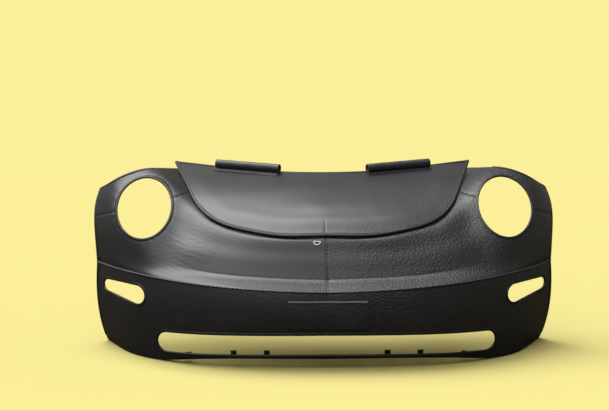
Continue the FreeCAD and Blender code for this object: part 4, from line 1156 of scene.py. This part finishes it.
across = np.linspace(-FLAP_HALF, FLAP_HALF, 81)
rows = []
drops = [drop for drop, lift in FLAP_ROWS] + list(np.linspace(0.012, FLAP_TOP - FLAP_LOW, 26))
lifts = [lift for drop, lift in FLAP_ROWS] + [FLAP_LIFT] * 25 + [FLAP_END_LIFT]
for drop, lift in zip(drops, lifts):
    a, b = bumper_level(np.abs(across), np.full(len(across), FLAP_TOP - drop))
    waviness = FLAP_WAVE * np.sin(across * 60 + 1) * np.sin(drop * 50)
    out = facing(bumper_surface, a, b, RIB_STEP)
    mirror = np.where(across[:, None] < 0, FLIP, np.ones(3))
    p = bumper_surface(a, b) * mirror
    rows.append(p + out * mirror * (lift + np.minimum(waviness + FLAP_WAVE, lift))[:, None])
grid = np.stack(rows[::-1], axis=1)
faces = grid_faces(np.ones((len(across) - 1, len(rows) - 1), bool))
plate_cloth = mesh_piece("plate_flap_cloth", grid.reshape(-1, 3), faces, VINYL_SKIN)
# The faces of the folded top edge get the pale colour, a painted highlight.
plate_cloth.data.materials.append(FOLD_HIGHLIGHT)
fold_rows = len(rows) - len(FLAP_ROWS)
for face in plate_cloth.data.polygons:
    if face.index % (len(rows) - 1) >= fold_rows + 1 and abs(face.center.x) < FLAP_HALF:
        face.material_index = 1
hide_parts("plate_flap")
declare_stretched(plate_cloth, grid, np.ones((len(across) - 1, len(rows) - 1), bool))
print("plate flap", len(plate_cloth.data.polygons), "faces")

# %% [markdown]
# A deflector tube is a foam rod in a vinyl sleeve. The sleeve is folded in at the ends, and its spare width
# is sewn down in front of it as a flange. The tube is built like a turned piece, ring by ring, with pleats at
# its ends, and the flange is a strip that leaves the tube's front and lies down on the hood piece.

# %% Deflector tubes
TUBE_RADIUS, TUBE_INNER, TUBE_OUTER, TUBE_SETBACK = 0.0165, 147.0, 376.0, 20.0
TUBE_SIDES, END_PLEATS, SLEEVE_INSET, SLEEVE_WAVE = 40, 10, 0.0004, 0.00022
# Each ring of an end: how far inwards it lies from the end, its radius as a share, and its pleats' height
END_RINGS = [(0.0075, 0.06, 0.0), (0.0065, 0.25, 0.0004), (0.0042, 0.50, 0.0009), (0.0016, 0.74, 0.0007),
             (0.0003, 0.88, 0.0004), (0.0006, 0.96, 0.0002), (0.0020, 0.995, 0.0001), (0.0050, 1.0, 0.0)]


def tube_ends():
    """The tube's line: two places on the top edge, moved forward, in drawn plan millimetres."""
    places = top_edge(np.linspace(0, len(TOP_EDGE) - 1, 4001))
    ends = [places[np.argmin(np.abs(places[:, 0] - x))] for x in (TUBE_INNER, TUBE_OUTER)]
    across = ends[1] - ends[0]
    forward = np.array([across[1], -across[0]]) / np.hypot(*across)
    return ends[0], across, forward


def beside_tube(fraction, ahead):
    """Points on the hood piece at a fraction of the tube's length, and ahead of its axis by metres."""
    start, across, forward = tube_ends()
    fraction = np.asarray(fraction, float)
    place = start + across * fraction[..., None] + forward * (TUBE_SETBACK + ahead / MM)
    return (hood_surface(place[..., 0], place[..., 1]),
            facing(hood_surface, place[..., 0], place[..., 1], PLAN_STEP))


tube_line, tube_up = beside_tube(np.linspace(0, 1, 9), 0.0)
tube_length = np.linalg.norm(tube_line[-1] - tube_line[0])
tube_way = (tube_line[-1] - tube_line[0]) / tube_length
tube_rise = unit(tube_up[4] - tube_way * (tube_up[4] @ tube_way))
tube_front = np.cross(tube_rise, tube_way)
tube_sag = ((tube_line - tube_line[0]) @ tube_rise).max()
tube_foot = tube_line[0] + tube_rise * (TUBE_RADIUS + SEAT + max(tube_sag, 0))
print("tube", round(tube_length, 4), "m long, front", tube_front)

# %% Tube sleeves
for side, mirrored in SIDES:
    turns = ring_turns(TUBE_SIDES)
    spots = END_RINGS + [(inward, 1.0, 0.0) for inward in np.linspace(0.009, tube_length - 0.009, 60)]
    spots += [(tube_length - inward, share, pleat) for inward, share, pleat in END_RINGS[::-1]]
    points = []
    for along_tube, share, pleat in spots:
        wrinkle = pleat * np.cos(END_PLEATS * turns + 1.7 * np.sin(turns * 2))
        soft = SLEEVE_WAVE * np.sin(along_tube * 95 + 2 * turns) * (1 if share == 1.0 else 0)
        radius = (TUBE_RADIUS - SLEEVE_INSET) * share + wrinkle + soft
        centre = tube_foot + tube_way * along_tube
        points.append(centre + tube_front * (radius * np.cos(turns))[:, None]
                      + tube_rise * (radius * np.sin(turns))[:, None])
    grid = np.array(points)
    last = len(spots) * TUBE_SIDES - 1
    faces = [face[::-1] for face in ring_faces(len(spots), TUBE_SIDES)]
    faces += [tuple(range(TUBE_SIDES)), tuple(range(last, last - TUBE_SIDES, -1))]
    piece = mesh_piece(f"tube_sleeve_{side}", grid.reshape(-1, 3), faces, VINYL_SKIN, mirrored)
    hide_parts(f"deflector_tube_{side}")

# %% Stitched flanges
FLANGE_REACH = 0.0252
# The flange's section: distance ahead of the tube's axis and height over the hood piece
FLANGE_SECTION = [(0.0108, 0.0022), (0.0140, 0.0009), (0.0190, SEAT), (FLANGE_REACH - 0.0004, SEAT),
                  (FLANGE_REACH, 0.0010), (FLANGE_REACH - 0.0004, 0.0020), (0.0226, 0.0024),
                  (0.0200, 0.0018), (0.0176, 0.0026), (0.0156, 0.0042), (0.0140, 0.0068)]
HIGHLIGHT_FACES, FLANGE_ROWS = (3, 4, 5), 170
SEWN_AHEAD, SEWN_ABOVE = 0.0203, 0.0019
# Four short rows of tacks close each end: their places as shares of the tube's length, and how they lie
TACK_ENDS, TACK_APART, TACK_FROM, TACK_TO, TACK_ABOVE = (0.006, 0.994), 0.004, 0.0165, 0.0240, 0.0027
for side, mirrored in SIDES:
    fractions = np.linspace(0.004, 0.996, FLANGE_ROWS)
    puff = 1 + PUFF * np.cos(2 * math.pi * np.arange(FLANGE_ROWS) / 5)
    columns = []
    for ahead, above in FLANGE_SECTION:
        on_hood, up = beside_tube(fractions, ahead)
        columns.append(on_hood + up * (above * (puff if above > 0.0015 else np.ones(FLANGE_ROWS)))[:, None])
    grid = np.stack(columns, axis=1)
    count = len(FLANGE_SECTION)
    faces = ring_faces(FLANGE_ROWS, count)
    around = len(faces)
    faces += [tuple(range(count))[::-1], tuple(range(around, around + count))]
    piece = mesh_piece(f"tube_flange_{side}", grid.reshape(-1, 3), faces, VINYL_SKIN, mirrored)
    # On the left side only, the faces of the flange's cut edge get the pale colour, a painted highlight.
    piece.data.materials.append(FOLD_HIGHLIGHT)
    for face in piece.data.polygons:
        if side == "left" and face.index < around and face.index % count in HIGHLIGHT_FACES:
            face.material_index = 1
    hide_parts(f"deflector_flange_{side}")
    on_hood, up = beside_tube(fractions, SEWN_AHEAD)
    sew(side, on_hood + up * SEWN_ABOVE, up, mirrored, length=0.0048, gap=0.0030, radius=0.0008)
    for end_fraction in TACK_ENDS:
        for step in range(4):
            spot = end_fraction + (step - 1.5) * TACK_APART
            tack = [beside_tube(spot, ahead) for ahead in np.linspace(TACK_FROM, TACK_TO, 6)]
            line, ups = np.array([p + n * TACK_ABOVE for p, n in tack]), np.array([n for p, n in tack])
            sew(side, line, ups, mirrored, length=0.0050, gap=0.0012, radius=0.0006)
    print("flange", side, len(faces), "faces")

# %% [markdown]
# A webbing strap with a hook holds each rear corner. It is sewn flat under the hood piece, turns over and
# hangs down. The section is a flat tape, and the path is a rounded corner between the two stretches. It
# hangs still, so a simulation would only give back this same path.

# %% Corner straps
STRAP_THICK, STRAP_BEND, STRAP_SWAY = 0.0024, 0.005, 0.0008
for side, mirrored in SIDES:
    low, high = [np.array(corner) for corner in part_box("corner_strap_right")]
    middle_y, half = (low[1] + high[1]) / 2, (high[1] - low[1]) / 2
    x = np.linspace(low[0], high[0] - STRAP_BEND, 12)
    drawn_back = np.full(len(x), middle_y / MM + MIDDLE)
    top = hood_surface(x / MM, drawn_back)
    normal = facing(hood_surface, x / MM, drawn_back, PLAN_STEP)
    flat_run = top - normal * (VINYL + 2 * SEAT)
    bend = np.linspace(0, math.pi / 2, 9)[1:]
    corner_at = flat_run[-1]
    turn_run = np.stack([corner_at[0] + STRAP_BEND * np.sin(bend), np.full(len(bend), middle_y),
                         corner_at[2] - STRAP_BEND * (1 - np.cos(bend))], axis=1)
    fall = np.linspace(turn_run[-1, 2], low[2], 24)[1:]
    sway = STRAP_SWAY * np.sin((fall - low[2]) * 60) ** 2
    fall_run = np.stack([high[0] - sway, np.full(len(fall), middle_y), fall], axis=1)
    path = np.vstack([flat_run, turn_run, fall_run])
    aside = np.tile([0.0, 1.0, 0.0], (len(path), 1))
    inner = unit(np.cross(path_directions(path, False), aside))
    piece = swept(f"corner_webbing_{side}", path, aside, inner * np.sign(-inner[0, 2]),
                  flat_section(half, STRAP_THICK), WEBBING, mirrored=mirrored, ring=True)
    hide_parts(f"corner_strap_{side}")
    print("corner strap", side, len(path), "rings")

# %% [markdown]
# The metal pieces are eyelets, hooks and a small ring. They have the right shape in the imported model, so they
# stay, and only get their finish.

# %% Finishes of the pieces that stay
KEPT = {"centre_clip": ZINC, "arch_eyelets": ZINC, "corner_hook": ZINC, "hem_hooks": DIPPED}
for name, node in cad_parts.items():
    finish = KEPT.get(name.removesuffix("_right").removesuffix("_left"))
    if finish:
        for place in node.material_slots:
            place.material = finish
        print("finished", name, "with", finish.name)

# %% [markdown]
# The stitches are twisted thread. They were collected row by row while the edges were made. Now those of each
# side, of the middle and of each piping become one piece, because thousands of pieces would be slow to load.

# %% Threads as pieces
for where, points in stitch_points.items():
    piece = mesh_piece(f"stitches_{where}", np.array(points), stitch_faces[where], THREADS[where])
    print("stitches", where, len(points) // (len(STITCH_RINGS) * THREAD_SIDES))

# %% [markdown]
# The studio is one pale floor under a wide soft lamp from above, behind and a little to the left. A dark
# object on a pale ground is lit by a broad soft lamp, while the walls around it are kept dim, or they would
# show in its gloss. So the background has its full strength for the camera only, and a small share of it in
# gloss and in bounced light. The same holds for the floor's colour.

# %% Background and floor
BACKGROUND = "#fbef9b"
GLOSS_SHARE = 0.06
FLOOR_TONE = "#e8dc8f"


def background_share(tree):
    """1 for what the camera sees, and a small share for gloss and bounced light."""
    path = add(tree, "ShaderNodeLightPath")
    return add(tree, "ShaderNodeMapRange", (), {"To Min": GLOSS_SHARE, "To Max": 1.0},
               {"Value": path.outputs["Is Camera Ray"]}).outputs["Result"]


bpy.ops.mesh.primitive_circle_add(vertices=96, radius=14, fill_type="NGON")
floor = bpy.context.object
floor.name = "floor"
material, tree, shader = fresh_material("pale floor", 1.0)
shader.inputs["Specular IOR Level"].default_value = 0.0
pale = add(tree, "ShaderNodeMix", {"data_type": "RGBA"}, {"A": linear("#000000"), "B": linear(FLOOR_TONE)},
           {"Factor": background_share(tree)})
tree.links.new(pale.outputs["Result"], shader.inputs["Base Color"])
floor.data.materials.append(material)
print("background", BACKGROUND, "and floor", FLOOR_TONE)

# %% [markdown]
# The world is the ceiling. A long soft panel runs from front to back and leans to the front and to the left.
# A small brighter patch lies nearly overhead, and shows mirrored in what is tilted halfway between up and
# front. Each depends only on the direction of a ray. Area lamps would do the same, but they light unevenly
# what is near to them. The camera sees the background instead.

# %% World and lamp
FILL = 0.09
PANEL_WAY, PANEL_EDGES, PANEL_SQUASH = (-0.31, -0.45, 0.84), (0.64, 0.97), (1.0, 0.55, 1.0)
GLOW_WAY, GLOW_EDGES, GLOW_SQUASH = (0.04, 0.20, 0.979), (0.945, 0.99), (1.0, 1.0, 1.0)
PANEL_STRENGTH, GLOW_STRENGTH = 1.25, 3.0
world = bpy.data.worlds.new("studio")
bpy.context.scene.world = world
world.use_nodes = True
tree = world.node_tree
direction = add(tree, "ShaderNodeTexCoord").outputs["Generated"]


def soft_patch(way, edges, squash, dim, bright):
    """White light that grows from dim to bright as a ray's direction nears way; squash draws it out."""
    drawn = add(tree, "ShaderNodeVectorMath", {"operation": "MULTIPLY"}, {1: squash}, {0: direction})
    even = add(tree, "ShaderNodeVectorMath", {"operation": "NORMALIZE"}, (), {0: drawn.outputs["Vector"]})
    lean = add(tree, "ShaderNodeVectorMath", {"operation": "DOT_PRODUCT"}, {1: way},
               {0: even.outputs["Vector"]})
    strength = add(tree, "ShaderNodeMapRange", {"interpolation_type": "SMOOTHSTEP"},
                   {"From Min": edges[0], "From Max": edges[1], "To Min": dim, "To Max": bright},
                   {"Value": lean.outputs["Value"]})
    return add(tree, "ShaderNodeBackground", (), {"Color": linear("#ffffff")},
               {"Strength": strength.outputs["Result"]})


panel = soft_patch(PANEL_WAY, PANEL_EDGES, PANEL_SQUASH, FILL, PANEL_STRENGTH)
glow = soft_patch(GLOW_WAY, GLOW_EDGES, GLOW_SQUASH, 0.0, GLOW_STRENGTH)
wall = add(tree, "ShaderNodeBackground", (), {"Color": linear(BACKGROUND)},
           {"Strength": background_share(tree)})
room = add(tree, "ShaderNodeAddShader", (), (), {0: panel.outputs[0], 1: wall.outputs[0]})
room = add(tree, "ShaderNodeAddShader", (), (), {0: room.outputs[0], 1: glow.outputs[0]})
camera_ray = add(tree, "ShaderNodeLightPath").outputs["Is Camera Ray"]
seen = add(tree, "ShaderNodeMixShader", (), (), {0: camera_ray, 1: room.outputs[0], 2: wall.outputs[0]})
tree.links.new(seen.outputs[0], tree.nodes["World Output"].inputs["Surface"])

LAMP_ENERGY, LAMP_ANGLE, LAMP_TURN = 1.80, 46, (-14, -25, 0)
sun = bpy.data.lights.new("soft lamp", "SUN")
sun.energy = LAMP_ENERGY
sun.angle = math.radians(LAMP_ANGLE)
lamp = bpy.data.objects.new("soft lamp", sun)
lamp.rotation_euler = [math.radians(turn) for turn in LAMP_TURN]
bpy.context.scene.collection.objects.link(lamp)
print("strength of panel, glow and lamp", PANEL_STRENGTH, GLOW_STRENGTH, LAMP_ENERGY)

# %% [markdown]
# The camera stands almost in front of the middle and looks slightly down. Its place and its lens come from a
# fit to landmarks of the cover. It could be aimed by eye, but then the shapes would be judged by a wrong view.

# %% Camera
FOCAL_PIXELS, IMAGE_WIDTH, SENSOR_WIDTH = 1058.94, 609, 36
CAMERA_AT = (-0.093, -3.5616, 0.748)
YAW, PITCH, ROLL = -0.0069, 0.0725, -0.0037
camera_data = bpy.data.cameras.new("camera")
camera_data.sensor_width = SENSOR_WIDTH
camera_data.lens = SENSOR_WIDTH * FOCAL_PIXELS / IMAGE_WIDTH
camera = bpy.data.objects.new("camera", camera_data)
bpy.context.scene.collection.objects.link(camera)
bpy.context.scene.camera = camera
right = Vector((math.cos(YAW), math.sin(YAW), 0))
forward = Vector((-math.sin(YAW) * math.cos(PITCH), math.cos(YAW) * math.cos(PITCH), -math.sin(PITCH)))
up = right.cross(forward)
right, up = (right * math.cos(ROLL) + up * math.sin(ROLL), up * math.cos(ROLL) - right * math.sin(ROLL))
camera.matrix_world = Matrix((
    (right.x, up.x, -forward.x, CAMERA_AT[0]), (right.y, up.y, -forward.y, CAMERA_AT[1]),
    (right.z, up.z, -forward.z, CAMERA_AT[2]), (0, 0, 0, 1)))
bpy.context.scene.view_settings.view_transform = "Standard"
print("camera at", CAMERA_AT, "with a lens of", round(camera_data.lens, 2), "mm")
